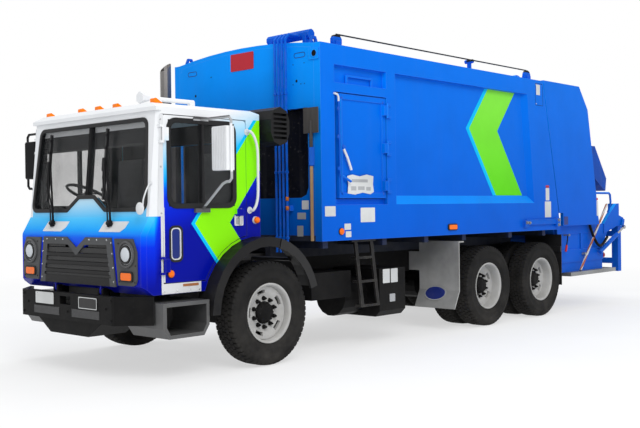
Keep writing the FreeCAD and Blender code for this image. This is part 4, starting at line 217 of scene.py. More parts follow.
def paint(name, colour, rough, metal=0.0, coat=0.0, vary=0.08, dust=0.15, dust_top=1.3,
           bump=0.02, grain=140.0, chips=0.0, chip=(0.32, 0.30, 0.28), streaks=0.0, pattern=None,
           edges=0.0, gloss=0.25):
    """Painted, cast or moulded surface with slow colour changes, road dust, streaks, worn edges and a painted
    highlight on edges.
    """
    g = Graph(name)
    colour = pattern(g) if pattern else colour
    cloud = g.noise(1.7, 4)
    fine = g.noise(34, 3)
    dark = g.times(g.between(cloud, 0.40, 0.72), vary)
    hue = g.mix(dark, colour, (0.0, 0.0, 0.0))
    if streaks:
        run = g.noise(9, 4, 0.6, (1.0, 1.0, 0.06))
        hue = g.mix(g.times(g.between(run, 0.52, 0.78), streaks), hue, DUST)
    height = g.xyz()[2]
    low = g.between(height, dust_top, 0.1)
    settle = g.times(g.times(low, dust), g.between(g.noise(5, 5, 0.65), 0.30, 0.75))
    hue = g.mix(settle, hue, DUST)
    if chips:
        spots = g.between(g.noise(21, 6, 0.7), 0.60, 0.68)
        worn = g.times(g.edge(0.009), g.between(g.noise(13, 4), 0.35, 0.6))
        hue = g.mix(g.times(g.most(worn, g.times(spots, 0.4)), chips), hue, chip)
    elif edges:
        # edges mixes the part's outer edges towards white: a painted highlight where the edges catch the
        # light.
        hue = g.mix(g.times(g.edge(0.012), edges), hue, (1.0, 1.0, 1.0))
    g.give("Base Color", hue)
    spread = g.plus(g.times(fine, 0.16), rough - 0.08)
    g.give("Roughness", g.math("ADD", spread, g.times(settle, 0.5), True))
    g.give("Metallic", metal)
    g.give("Coat Weight", coat)
    g.give("Coat Roughness", 0.08)
    g.give("Specular IOR Level", gloss)
    if bump:
        g.relief(g.noise(grain, 3), bump, 0.004)
    M[name] = g.material


def chevron(g, colour, apex, height, width, lip, slope_up, slope_down, low, high, reach, tones):
    """Lime arrow with a cyan leading edge, painted where |y| is beyond reach and z is from low to high."""
    x, y, z = g.xyz()
    rise = g.minus(z, height)
    up = g.over(g.most(rise, 0.0), slope_up)
    down = g.over(g.most(g.times(rise, -1.0), 0.0), slope_down)
    along = g.minus(g.minus(x, up), down)
    inside = g.times(g.above(z, low), g.below(z, high))
    inside = g.times(inside, g.above(g.bare(y), reach[0]))
    inside = g.times(inside, g.below(g.bare(y), reach[1]))
    inside = g.times(inside, g.below(along, apex + width))
    edge = g.times(inside, g.above(along, apex - lip))
    stripe = g.times(inside, g.above(along, apex))
    tone = g.mix(g.between(z, low, high), *tones)
    return g.mix(stripe, g.mix(edge, colour, (0.0, 0.50, 0.88)), tone)


def body_pattern(g):
    """Blue that is lighter higher up, with a painted highlight on upward and sloping faces and painted light
    and shade on the front faces, and the arrow on the big panels.
    """
    z = g.xyz()[2]
    base = g.mix(g.between(z, 1.2, 3.3), (0.0, 0.105, 0.62), (0.0, 0.165, 0.78))
    # Faces turned forwards get their own ramp from dark navy low down to bright blue high up: painted shade
    # below, painted light above.
    front = g.mix(g.between(z, 1.2, 3.1), (0.0, 0.085, 0.45), (0.0, 0.300, 1.0))
    base = g.mix(g.below(g.faces()[0], -0.7), base, front)
    # Faces turned upwards are mixed towards light blue: a painted highlight on the top and sloping faces.
    base = g.mix(g.between(g.faces()[2], 0.15, 0.7), base, (0.0, 0.31, 0.95))
    return chevron(g, base, 3.590 - SHIFT, 2.551, 0.66, 0.075, 1.22, 1.40, 1.695, 3.088, (1.12, 1.175),
                   ((0.12, 0.68, 0.010), (0.24, 0.80, 0.06)))


def inside_box(g, low, high, wide):
    """1 where x and z lie between the corners (x, z) and |y| is under wide."""
    x, y, z = g.xyz()
    result = g.below(g.bare(y), wide)
    for axis, a, b in ((x, low[0] - SHIFT, high[0] - SHIFT), (z, low[1], high[1])):
        result = g.times(result, g.times(g.above(axis, a), g.below(axis, b)))
    return result


def cab_pattern(g):
    """White at the top, cyan below it and royal blue at the foot; the fade sits higher on the sides.

    The linings and the bar between the two front windows are dark.
    """
    x, y, z = g.xyz()
    side = g.between(x, -1.30 - SHIFT, -1.19 - SHIFT)
    lift = g.plus(g.times(g.plus(x, SHIFT + 1.25), 0.30), 0.42)
    level = g.minus(z, g.times(side, lift))
    level = g.plus(level, g.times(g.minus(g.noise(1.1, 2), 0.5), 0.04))
    share = g.between(level, 0.80, 1.90)
    fade = g.ramp(share, [(0.04, (0.0, 0.004, 0.30)), (0.18, (0.0, 0.010, 0.50)), (0.38, (0.0, 0.028, 0.74)),
                          (0.46, (0.0, 0.12, 0.86)), (0.53, (0.0, 0.36, 0.93)), (0.62, (0.06, 0.52, 0.93)),
                          (0.76, (0.42, 0.70, 0.88)), (0.92, WHITE)])
    outside = chevron(g, fade, -0.829 - SHIFT, 1.428, 0.434, 0.045, 1.26, 1.28, 0.7, 2.44, (1.02, 1.10),
                      ((0.26, 0.84, 0.004), (0.24, 0.84, 0.004)))
    slope = g.minus(g.minus(x, -1.328 - SHIFT + 0.045), g.times(g.minus(z, 1.5), 0.0913))
    lining = g.times(inside_box(g, (-1.40, 0.85), (-0.045, 2.452), 1.012), g.above(slope, 0.0))
    lining = g.most(lining, inside_box(g, (-1.19, 0.9), (-0.19, 2.43), 1.060))
    lining = g.most(lining, inside_box(g, (-1.132, 1.588), (-0.328, 2.387), 1.20))
    inward = g.below(g.times(g.faces()[1], y), -0.5)
    lining = g.most(lining, g.times(inward, g.above(z, 0.86)))
    bar = inside_box(g, (-1.40, 1.70), (-1.20, 2.394), 0.014)
    post = g.times(inside_box(g, (-1.46, 1.500), (-1.190, 2.60), 1.30), g.above(g.bare(y), 0.985))
    outside = g.mix(post, outside, WHITE)
    return g.mix(g.most(lining, bar), outside, (0.014, 0.014, 0.016))


def cab_lamp_pattern(g):
    """Amber on the roof and in the turn lamps, clear in the headlamps."""
    z = g.xyz()[2]
    amber = g.most(g.above(z, 2.5), g.below(z, 1.02))
    return g.mix(amber, (0.50, 0.52, 0.54), (1.0, 0.22, 0.0))


def step_pattern(g):
    """Bare metal on the cab's steps and black on the ladder."""
    x = g.xyz()[0]
    return g.mix(g.below(x, 0.2 - SHIFT), (0.012, 0.012, 0.013), (0.115, 0.117, 0.12))


def packer_pattern(g):
    """Blue blades and gate; the gate's front face, in the dark of the body, is painted near black as painted
    shade.
    """
    x = g.xyz()[0]
    return g.mix(g.below(x, 1.00 - SHIFT), (0.0, 0.070, 0.44), (0.0015, 0.0025, 0.008))


def hoist_pattern(g):
    """Blue gear and pipes with a black cable along the roof's edge."""
    y, z = g.xyz()[1:]
    cable = g.times(g.above(z, 3.425), g.below(y, -1.03))
    return g.mix(cable, (0.0, 0.115, 0.64), (0.010, 0.011, 0.014))


def trim_pattern(g):
    """Grey grille and lamp surrounds and black mudguards."""
    x, y, z = g.xyz()
    front = g.times(g.below(x, -1.395 - SHIFT), g.above(z, 0.83))
    wide = g.bare(y)
    side = g.plus(wide, g.times(g.minus(z, 0.86), 0.13))
    top = g.least(g.plus(g.times(wide, 0.6), 1.13), 1.237)
    inner = g.times(g.below(side, 0.565), g.below(z, top))
    front = g.times(front, g.minus(1.0, inner))
    return g.mix(front, (0.010, 0.010, 0.011), (0.072, 0.074, 0.077))


def shovel_pattern(g):
    """Dark worn blade above, a blue clamp and a wooden handle below."""
    z = g.xyz()[2]
    lower = g.mix(g.above(z, 2.00), (0.40, 0.25, 0.12), (0.0, 0.11, 0.58))
    return g.mix(g.above(z, 2.20), lower, (0.055, 0.052, 0.050))


def mirror_pattern(g):
    """White head on grey arms with dark feet."""
    y, z = g.xyz()[1:]
    head = g.times(g.above(g.bare(y), 1.265), g.times(g.above(z, 1.90), g.below(z, 2.34)))
    arm = g.mix(g.most(g.below(z, 1.590), g.above(z, 2.405)), (0.42, 0.43, 0.44), (0.09, 0.09, 0.095))
    return g.mix(head, arm, WHITE)


def underside_pattern(g):
    """Blue sills that darken to near black towards the middle of the underside."""
    y = g.xyz()[1]
    outer = g.between(g.bare(y), 1.05, 1.20)
    return g.mix(g.times(outer, 0.25), (0.006, 0.012, 0.030), (0.0, 0.075, 0.42))


def interior_pattern(g):
    """Dark floor and slightly lighter linings."""
    z = g.xyz()[2]
    return g.mix(g.between(z, 1.35, 1.6), (0.018, 0.018, 0.019), (0.030, 0.030, 0.032))


def tyre_pattern(g):
    """Rubber with lighter and darker patches."""
    return g.mix(g.between(g.noise(3.2, 4), 0.35, 0.7), (0.010, 0.010, 0.0105), (0.019, 0.0185, 0.018))


def stripe_pattern(g):
    """Rust red and white bands that wind up the guard rod."""
    y, z = g.xyz()[1:]
    wave = g.part(g.plus(g.times(z, 2.4), g.times(y, 26.0)))
    return g.mix(g.above(wave, 0.5), (0.62, 0.62, 0.60), (0.42, 0.10, 0.035))


def clear(name, tint, rough, alpha, wear=0.04):
    """Thin window glass."""
    g = Graph(name)
    film = g.between(g.noise(2.4, 4), 0.35, 0.75)
    g.give("Base Color", g.mix(g.times(film, 0.4), tint, (0.16, 0.17, 0.17)))
    g.give("Roughness", g.plus(g.times(film, wear), rough))
    g.give("IOR", 1.45)
    g.give("Alpha", g.plus(g.times(film, 0.08), alpha))
    M[name] = g.material


def lens(name, colour, ribs=240.0):
    """Moulded lamp lens with fine ribs."""
    g = Graph(name)
    wave = g.new("ShaderNodeTexWave")
    wave.bands_direction = "Y"
    wave.inputs["Scale"].default_value = ribs / 6.28
    g.link(g.coords, wave.inputs["Vector"])
    g.give("Base Color", g.mix(g.times(wave.outputs[1], 0.3), colour, tuple(c * 0.45 for c in colour)))
    g.give("Roughness", g.plus(g.times(g.noise(60), 0.1), 0.12))
    g.give("Coat Weight", 0.12)
    g.give("Specular IOR Level", 0.2)
    g.relief(wave.outputs[1], 0.3, 0.002)
    M[name] = g.material


def mesh_metal(name, colour):
    """Expanded sheet: lighter diamond strands over gaps painted near black, as painted shade behind the
    holes.
    """
    g = Graph(name)
    y, z = g.xyz()[1:]
    a = g.part(g.times(g.plus(y, g.times(z, 1.8)), 34.0))
    b = g.part(g.times(g.minus(y, g.times(z, 1.8)), 34.0))
    strand = g.most(g.below(a, 0.32), g.below(b, 0.32))
    tone = g.mix(g.between(g.noise(30), 0.3, 0.7), colour, tuple(c * 2.2 for c in colour))
    # The gaps are near black: painted shade seen through the holes of the sheet.
    g.give("Base Color", g.mix(strand, (0.003, 0.003, 0.003), tone))
    g.give("Roughness", g.plus(g.times(strand, -0.2), 0.65))
    g.relief(strand, 0.8, 0.003)
    M[name] = g.material


def woven(name, colour):
    """Seat cover with a fine weave and rubbed high spots."""
    g = Graph(name)
    x, y, z = g.xyz()
    a = g.math("SINE", g.times(y, 1500.0))
    b = g.math("SINE", g.times(g.plus(x, z), 1500.0))
    weave = g.times(a, b)
    rub = g.between(g.noise(6, 4), 0.4, 0.75)
    g.give("Base Color", g.mix(g.times(rub, 0.5), colour, tuple(c * 1.9 for c in colour)))
    g.give("Roughness", g.plus(g.times(rub, -0.12), 0.74))
    g.give("Sheen Weight", 0.25)
    g.relief(weave, 0.25, 0.0015)
    M[name] = g.material


paint("tyre", None, 0.74, pattern=tyre_pattern, dust=0.16, dust_top=1.1, bump=0.10, grain=90, vary=0.2,
      gloss=0.08)
paint("wheel_grey", (0.50, 0.495, 0.48), 0.42, vary=0.25, dust=0.35, dust_top=1.5, bump=0.03, streaks=0.25)
paint("frame_black", (0.0055, 0.0055, 0.006), 0.48, vary=0.3, dust=0.06, chips=0.15, bump=0.03,
      chip=(0.08, 0.08, 0.08), gloss=0.07)
paint("engine_grey", (0.055, 0.055, 0.057), 0.62, vary=0.4, dust=0.5, bump=0.15, grain=60)
paint("rubber_black", (0.011, 0.011, 0.012), 0.42, vary=0.2, dust=0.08, bump=0.04, gloss=0.3)
paint("guard_grey", (0.50, 0.50, 0.49), 0.34, metal=0.35, vary=0.45, dust=0.3, streaks=0.2, bump=0.02)
paint("exhaust_steel", (0.20, 0.19, 0.185), 0.40, metal=0.75, vary=0.5, dust=0.1, streaks=0.3)
paint("plastic_black", (0.012, 0.012, 0.013), 0.48, vary=0.25, dust=0.06, bump=0.02, grain=220, gloss=0.12)
paint("body_blue", None, 0.42, vary=0.08, dust=0.05, dust_top=1.5, pattern=body_pattern, streaks=0.015,
      bump=0.015, grain=5, edges=0.03, gloss=0.05)
paint("cab_paint", None, 0.34, coat=0.04, vary=0.04, dust=0.03, dust_top=1.0, pattern=cab_pattern, bump=0.0,
      edges=0.03, gloss=0.06)
paint("cab_floor_grey", (0.035, 0.035, 0.038), 0.75, vary=0.3, dust=0.4, dust_top=2.0)
clear("glass_clear", (0.018, 0.020, 0.021), 0.03, 0.16)
lens("lamp_lens", (0.62, 0.65, 0.68))
lens("lamp_amber", (1.0, 0.17, 0.0))
lens("lamp_red", (0.45, 0.008, 0.006))
woven("seat_vinyl", (0.045, 0.047, 0.052))
paint("packer_steel", None, 0.46, vary=0.3, dust=0.22, dust_top=2.4, chips=0.4, streaks=0.12, bump=0.03,
      grain=40, pattern=packer_pattern, gloss=0.06)
paint("gear_steel", (0.0, 0.115, 0.64), 0.44, vary=0.25, dust=0.12, chips=0.25, streaks=0.04, gloss=0.06)
paint("hoist_paint", None, 0.44, vary=0.25, dust=0.12, chips=0.25, streaks=0.04, gloss=0.06,
      pattern=hoist_pattern)
paint("cab_trim_paint", None, 0.42, vary=0.25, dust=0.12, bump=0.05, grain=200, gloss=0.14,
      pattern=trim_pattern)
paint("shovel_paint", None, 0.50, vary=0.35, dust=0.1, streaks=0.2, dust_top=3.0, gloss=0.2,
      pattern=shovel_pattern)
paint("step_zinc", (0.33, 0.34, 0.345), 0.40, metal=0.65, vary=0.4, dust=0.3, chips=0.2, bump=0.06, grain=70)
paint("rod_steel", (0.45, 0.45, 0.46), 0.22, metal=1.0, vary=0.3, dust=0.2)
paint("mirror_white", None, 0.36, vary=0.15, dust=0.05, streaks=0.06, dust_top=3.0, pattern=mirror_pattern)
paint("cab_lamp", None, 0.24, coat=0.1, vary=0.15, dust=0.03, pattern=cab_lamp_pattern, bump=0.0, gloss=0.15)
paint("cab_step", None, 0.36, metal=0.45, vary=0.4, dust=0.25, chips=0.3, pattern=step_pattern, bump=0.06,
      grain=60)
paint("underside", None, 0.6, vary=0.4, dust=0.3, dust_top=2.0, pattern=underside_pattern)
paint("cab_inside", None, 0.6, vary=0.2, dust=0.15, dust_top=2.4, pattern=interior_pattern, grain=300,
      bump=0.0, gloss=0.12)
paint("chrome", (0.60, 0.61, 0.62), 0.18, metal=1.0, vary=0.2, dust=0.08, bump=0.0)
paint("white_trim", (0.72, 0.73, 0.74), 0.36, vary=0.14, dust=0.14, dust_top=3.2, streaks=0.10)
paint("plate_white", (0.66, 0.67, 0.66), 0.36, vary=0.2, dust=0.12, streaks=0.10)
paint("plate_dark", (0.012, 0.012, 0.013), 0.3, vary=0.2, dust=0.15)
paint("plate_red", (0.50, 0.010, 0.025), 0.32, vary=0.2, dust=0.1, dust_top=3.4)
paint("plate_navy", (0.006, 0.022, 0.20), 0.30, vary=0.25, dust=0.2)
paint("bezel_grey", (0.060, 0.060, 0.063), 0.42, vary=0.18, dust=0.15, bump=0.10, grain=260, edges=0.10)
mesh_metal("grille_mesh", (0.007, 0.007, 0.008))
mesh_metal("bumper_mesh", (0.040, 0.040, 0.042))
# Near black for dark joints, and painted shade in holes, openings and behind the wheel discs.
paint("dark_gap", (0.003, 0.003, 0.004), 0.9, vary=0.2, dust=0.0)
paint("gasket", (0.012, 0.012, 0.013), 0.55, vary=0.2, dust=0.06, dust_top=2.6)
paint("orange_hose", (0.62, 0.16, 0.012), 0.5, vary=0.3, dust=0.2, dust_top=2.4)
paint("guard_rod", None, 0.42, pattern=stripe_pattern, vary=0.2, dust=0.2)
paint("red_grip", (0.52, 0.012, 0.010), 0.45, vary=0.2, dust=0.15)
paint("worn_orange", (0.52, 0.17, 0.04), 0.55, vary=0.5, dust=0.3, streaks=0.5)
paint("label_grey", (0.42, 0.43, 0.44), 0.4, vary=0.35, dust=0.2, streaks=0.2, dust_top=2.6)

OWN = {"cab_lamps": "cab_lamp", "steps_and_ladder": "cab_step", "body_floor": "underside",
       "cab_interior": "cab_inside", "cab_trim": "cab_trim_paint", "hoist_gear_and_pipes": "hoist_paint"}
SLOT_LOOK = {"shovel_steel": "shovel_paint"}
slots = {part["node"]: part["material_slot"] for part in frame["record"]["subparts"]}
for name, item in nodes.items():
    for place in item.material_slots:
        place.material = M[OWN.get(name, SLOT_LOOK.get(slots[name], slots[name]))]


# Mesh helpers. Places are in metres from the front axle, in part.py's directions.

SIDES = ((-1, "left"), (1, "right"))
AXLE_HEIGHT = 0.52
REAR_AXLES = ((3.929, "mid"), (5.272, "rear"))
FRONT_TYRE, OUTER_TYRE, INNER_TYRE = 1.080, 1.092, 0.762     # middles of the tyres, from the truck's middle
GROOVE_RADIUS, TREAD_RADIUS = 0.503, 0.5195
NUT_CIRCLE, HUB_BOLT_CIRCLE = 0.143, 0.090
SEAT_MIDDLE = 0.745
BUMPER_FACE = -1.566
GRILLE_FACE = -1.4255
LAMP_FACE = -1.425
CAB_SIDE = 1.067
DOOR_SIDE = 1.066
BODY_FRONT = 0.7525
BODY_SIDE = 1.2195
ACCESS_DOOR_SIDE = 1.205
TANK_BOX_SIDE = 1.1505


def turns(count, shift=0.0):
    """Angles round a circle, all moved on by a share of a step."""
    return [2 * math.pi * (k + shift) / count for k in range(count)]


def polar(r, a):
    return r * math.cos(a), r * math.sin(a)


def ring_faces(rings, sides):
    """Faces between rings of points that follow each other."""
    return [(i * sides + k, i * sides + (k + 1) % sides, (i + 1) * sides + (k + 1) % sides,
             (i + 1) * sides + k) for i in range(rings - 1) for k in range(sides)]


def put_in_scene(name, data):
    item = bpy.data.objects.new(name, data)
    bpy.context.scene.collection.objects.link(item)
    return item


class Bag:
    """Collects the faces of one piece, with a material for each."""

    def __init__(self):
        self.points, self.faces, self.marks, self.soft, self.used = [], [], [], [], []

    def add(self, points, faces, material, soft=False):
        if material not in self.used:
            self.used.append(material)
        base = len(self.points)
        self.points += [Vector(p) for p in points]
        for face in faces:
            self.faces.append([base + i for i in face])
            self.marks.append(self.used.index(material))
            self.soft.append(soft)

    def block(self, x0, x1, y0, y1, z0, z1, material):
        points = [(x, y, z) for x in (x0, x1) for y in (y0, y1) for z in (z0, z1)]
        self.add(points, [(0, 1, 3, 2), (4, 6, 7, 5), (0, 4, 5, 1), (2, 3, 7, 6), (0, 2, 6, 4),
                          (1, 5, 7, 3)], material)

    def slab(self, outline, place, low, high, material, soft=False):
        """Outline of (u, v), put in space by place(u, v, w), from w = low to high."""
        n = len(outline)
        points = [place(u, v, w) for w in (low, high) for u, v in outline]
        faces = [tuple(range(n))[::-1], tuple(range(n, 2 * n))]
        faces += [(i, (i + 1) % n, n + (i + 1) % n, n + i) for i in range(n)]
        self.add(points, faces, material, soft)

    def plate(self, box, corner, place, low, high, material):
        """Flat plate on the box (left, right, bottom, top) of a plane, with its corners rounded."""
        outline = rounded(rect(*box), corner, 3) if corner else rect(*box)
        self.slab(outline, place, low, high, material)

    def frame(self, outer, inner, place, low, high, material):
        """Ring between two outlines with as many corners."""
        n = len(outer)
        points = [place(u, v, w) for w in (low, high) for ring in (outer, inner) for u, v in ring]
        faces = []
        for i in range(n):
            j = (i + 1) % n
            faces += [(2 * n + i, 2 * n + j, 3 * n + j, 3 * n + i), (i, n + i, n + j, j),
                      (i, j, 2 * n + j, 2 * n + i), (n + i, 3 * n + i, 3 * n + j, n + j)]
        self.add(points, faces, material)

    def lathe(self, profile, place, count, material, closed=False, soft=True):
        """Profile of (radius, w) round the w axis of place(u, v, w)."""
        rings = []
        for a in turns(count):
            rings += [place(*polar(r, a), w) for r, w in profile]
        n = len(profile)
        faces = []
        for k in range(count):
            here, there = k * n, (k + 1) % count * n
            for i in range(n if closed else n - 1):
                j = (i + 1) % n
                faces.append((here + i, there + i, there + j, here + j))
        self.add(rings, faces, material, soft)

    def tube(self, path, radius, material, sides=10):
        path = [Vector(p) for p in path]
        rings = []
        normal = None
        for i, p in enumerate(path):
            ahead = (path[min(i + 1, len(path) - 1)] - path[max(i - 1, 0)]).normalized()
            normal = ahead.orthogonal() if normal is None else normal - ahead * normal.dot(ahead)
            normal.normalize()
            other = ahead.cross(normal)
            rings += [p + (normal * math.cos(a) + other * math.sin(a)) * radius
                      for a in turns(sides)]
        self.add(rings, ring_faces(len(path), sides), material, True)
        last = (len(path) - 1) * sides
        self.add(rings[:sides], [tuple(range(sides))[::-1]], material)
        self.add(rings[last:], [tuple(range(sides))], material)

    def bolt(self, centre, out, radius, height, material, sides=6):
        out = Vector(out).normalized()
        u = out.orthogonal().normalized()
        v = out.cross(u)
        centre = Vector(centre)
        steps = ((radius * 1.45, 0), (radius * 1.45, height * 0.2), (radius, height * 0.2),
                 (radius, height * 0.85), (radius * 0.8, height))
        rings = [centre + out * h + (u * math.cos(a) + v * math.sin(a)) * r for r, h in steps
                 for a in turns(sides)]
        faces = ring_faces(len(steps), sides)
        faces.append(tuple(len(rings) - sides + k for k in range(sides)))
        self.add(rings, faces, material)

    def build(self, name, body, bevel=0.0, replaced=()):
        mesh = bpy.data.meshes.new(name)
        mesh.from_pydata([(p.x - SHIFT, p.y, p.z) for p in self.points], [], self.faces)
        for material in self.used:
            mesh.materials.append(M[material])
        mesh.polygons.foreach_set("material_index", self.marks)
        mesh.polygons.foreach_set("use_smooth", self.soft)
        work = bmesh.new()
        work.from_mesh(mesh)
        bmesh.ops.recalc_face_normals(work, faces=work.faces)
        work.to_mesh(mesh)
        work.free()
        item = put_in_scene(name, mesh)
        if bevel:
            rounding = item.modifiers.new("edges", "BEVEL")
            rounding.width = bevel
            rounding.segments = 2
            rounding.limit_method = "ANGLE"
            rounding.angle_limit = math.radians(40)
        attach(item, body)
        if replaced:
            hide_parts(*replaced)
        return item


def rect(left, right, low, high):
    """Corners of an upright rectangle."""
    return [(left, low), (right, low), (right, high), (left, high)]


def rounded(points, radius, steps=5):
    """Outline with its corners turned into arcs; radius is one value or one for each corner."""
    result = []
    count = len(points)
    for i, p in enumerate(points):
        r = radius[i] if isinstance(radius, (list, tuple)) else radius
        here, before, after = Vector(p), Vector(points[i - 1]), Vector(points[(i + 1) % count])
        a, b = (before - here).normalized(), (after - here).normalized()
        half = a.angle(b) / 2
        run = r / math.tan(half)
        centre = here + (a + b).normalized() * (r / math.sin(half))
        start, end = here + a * run - centre, here + b * run - centre
        sweep = math.pi - 2 * half
        for k in range(steps + 1):
            t = k / steps
            arm = (start * math.sin((1 - t) * sweep) + end * math.sin(t * sweep)) / math.sin(sweep)
            result.append(tuple(centre + arm))
    return result


def inset(points, distance):
    """Outline moved inwards by the distance at each side; the points run round it in order."""
    count = len(points)
    area = sum(points[i][0] * points[(i + 1) % count][1] - points[(i + 1) % count][0] * points[i][1]
               for i in range(count))
    turn = 1 if area > 0 else -1
    result = []
    for i in range(count):
        before, here, after = Vector(points[i - 1]), Vector(points[i]), Vector(points[(i + 1) % count])
        a, b = (here - before).normalized(), (after - here).normalized()
        na, nb = Vector((-a.y, a.x)) * turn, Vector((-b.y, b.x)) * turn
        joint = (na + nb).normalized()
        result.append(tuple(here + joint * (distance / max(0.2, joint.dot(na)))))
    return result


def smooth_path(points, steps=6):
    """Curve through the points."""
    pts = [Vector(p) for p in points]
    pts = [pts[0] * 2 - pts[1]] + pts + [pts[-1] * 2 - pts[-2]]
    result = []
    for i in range(1, len(pts) - 2):
        for k in range(steps):
            t = k / steps
            a, b, c, d = pts[i - 1:i + 3]
            result.append(0.5 * (2 * b + (c - a) * t + (2 * a - 5 * b + 4 * c - d) * t * t
                                 + (3 * b - a - 3 * c + d) * t ** 3))
    result.append(pts[-2])
    return result


def on_side(y, sign=-1):
    """Plane along the truck at y; u is x, v is z and w points outwards."""
    return lambda u, v, w: (u, y + sign * w, v)


def on_front(x):
    """Plane across the truck at x; u is y, v is z and w points forwards."""
    return lambda u, v, w: (x - w, u, v)


def on_screen(u, v, w):
    """Windshield plane; w points forwards."""
    return (-1.328 + 0.088 * (v - 1.5) / 0.964 - w, u, v + 0.09 * w)


def on_brow(u, v, w):
    """Sloping panel under the windshield."""
    return (-1.425 + 0.097 * (v - 1.33) / 0.17 - 0.87 * w, u, v + 0.5 * w)


def on_rear(x):
    """As on_front, with w pointing backwards."""
    return lambda u, v, w: (x + w, u, v)


def about(plane, across, height):
    """The plane with its zero moved to a point on it."""
    return lambda u, v, w: plane(across + u, height + v, w)


def upright(x, y):
    """Round an upright pipe; w is the height."""
    return lambda u, v, w: (x + u, y + v, w)


def wheel_place(x, side):
    """Round the axle at x; w is the distance from the truck's middle."""
    return lambda u, v, w: (x + u, side * w, AXLE_HEIGHT + v)


# Wheels

def tread(bag, x, side, middle):
    """One tyre with grooved tread and ribbed shoulders."""
    half = [(0.292, 0.098), (0.312, 0.118), (0.345, 0.134), (0.352, 0.140), (0.362, 0.139), (0.400, 0.147),
            (0.435, 0.144), (0.441, 0.148), (0.450, 0.146), (0.478, 0.134), (0.497, 0.122), (0.506, 0.108)]
    profile = [(r, middle - y) for r, y in half] + [(r, middle + y) for r, y in reversed(half)]
    place = wheel_place(x, side)
    bag.lathe(profile, place, 96, "tyre")
    count = 56
    for row, (low, high, lean) in enumerate(((-0.113, -0.072, 0.4), (-0.066, -0.026, -0.5),
                                             (-0.020, 0.020, 0.5), (0.026, 0.066, -0.5),
                                             (0.072, 0.113, 0.4))):
        edge = row in (0, 4)
        for a in turns(count, 0.5 * (row % 2)):
            reach = 2 * math.pi / count * (0.36 if edge else 0.42)
            shear = 0.03 * lean
            points = []
            for r in (GROOVE_RADIUS, TREAD_RADIUS):
                for t, w in ((-reach, low), (reach, low), (reach + shear, high), (-reach + shear, high)):
                    rr, ww = r, w
                    if edge and abs(w) > 0.11:
                        rr, outer = (0.487, 0.130) if r == GROOVE_RADIUS else (0.513, 0.117)
                        ww = math.copysign(outer, w)
                    points.append(place(*polar(rr, a + t), middle + ww))
            bag.add(points, [(4, 5, 6, 7), (0, 1, 5, 4), (1, 2, 6, 5), (2, 3, 7, 6), (3, 0, 4, 7)], "tyre")


def rim(bag, x, side, face, depth, nose, hand_low, hand_high, holes=5):
    """Painted rim with its dished disc, hand holes, black hub and nuts.

    face, face less depth and nose are the distances of the rim, the disc and the hub from the truck's middle;
    the hand holes lie between the radii hand_low and hand_high.
    """
    place = wheel_place(x, side)
    back = face - 0.236
    bag.lathe([(0.300, face - 0.010), (0.300, face), (0.290, face + 0.001), (0.281, face - 0.006),
               (0.272, face - 0.020), (0.268, face - 0.060), (0.262, face - 0.110), (0.262, back + 0.03),
               (0.284, back), (0.300, back), (0.300, back + 0.010), (0.288, back + 0.020),
               (0.270, back + 0.06), (0.270, face - 0.06), (0.286, face - 0.018)], place, 64, "wheel_grey",
              closed=True)
    disc = face - depth
    radii = [(0.112, disc), (0.165, disc), (0.178, disc + 0.004), (hand_low, disc + 0.016),
             (hand_high, disc + 0.026), (0.264, disc + 0.030)]
    segments = 8           # of the disc for each hand hole
    count = holes * segments
    for thick in (0.0, -0.012):
        rings = []
        for a in turns(count):
            rings += [place(*polar(r, a), w + thick) for r, w in radii]
        faces = []
        for k in range(count):
            here, there = k * len(radii), (k + 1) % count * len(radii)
            for i in range(len(radii) - 1):
                if i == 3 and k % segments in (2, 3, 4):
                    continue
                faces.append((here + i, there + i, there + i + 1, here + i + 1))
        bag.add(rings, faces, "wheel_grey", True)
    for k in range(holes):
        start, stop = ((k * segments + n) * 2 * math.pi / count for n in (2, 5))
        corners = [(hand_low, start), (hand_low, (start + stop) / 2), (hand_low, stop), (hand_high, stop),
                   (hand_high, (start + stop) / 2), (hand_high, start)]
        lift = {hand_low: 0.016, hand_high: 0.026}
        points = [place(*polar(r, a), disc + lift[r] + t) for t in (0.001, -0.034) for r, a in corners]
        bag.add(points, [(i, (i + 1) % 6, 6 + (i + 1) % 6, 6 + i) for i in range(6)], "wheel_grey")
    # Near black disc behind the wheel's disc: painted shade seen through the hand holes.
    bag.lathe([(0.0, disc - 0.05), (0.258, disc - 0.05)], place, 32, "dark_gap")
    bag.lathe([(0.112, disc - 0.03), (0.112, disc + 0.012), (0.106, disc + 0.020), (0.098, nose - 0.022),
               (0.088, nose - 0.016), (0.080, nose - 0.004), (0.030, nose), (0.0, nose)], place, 40,
              "frame_black")
    for a in turns(8):
        bag.bolt(place(*polar(HUB_BOLT_CIRCLE, a), nose - 0.018), (0, side, 0), 0.0075, 0.010, "frame_black")
    for a in turns(10, 0.5):
        spot = place(*polar(NUT_CIRCLE, a), disc)
        bag.bolt(spot, (0, side, 0), 0.0175, 0.034, "frame_black")
        bag.bolt(place(*polar(NUT_CIRCLE, a), disc + 0.030), (0, side, 0), 0.009, 0.018, "frame_black", 8)


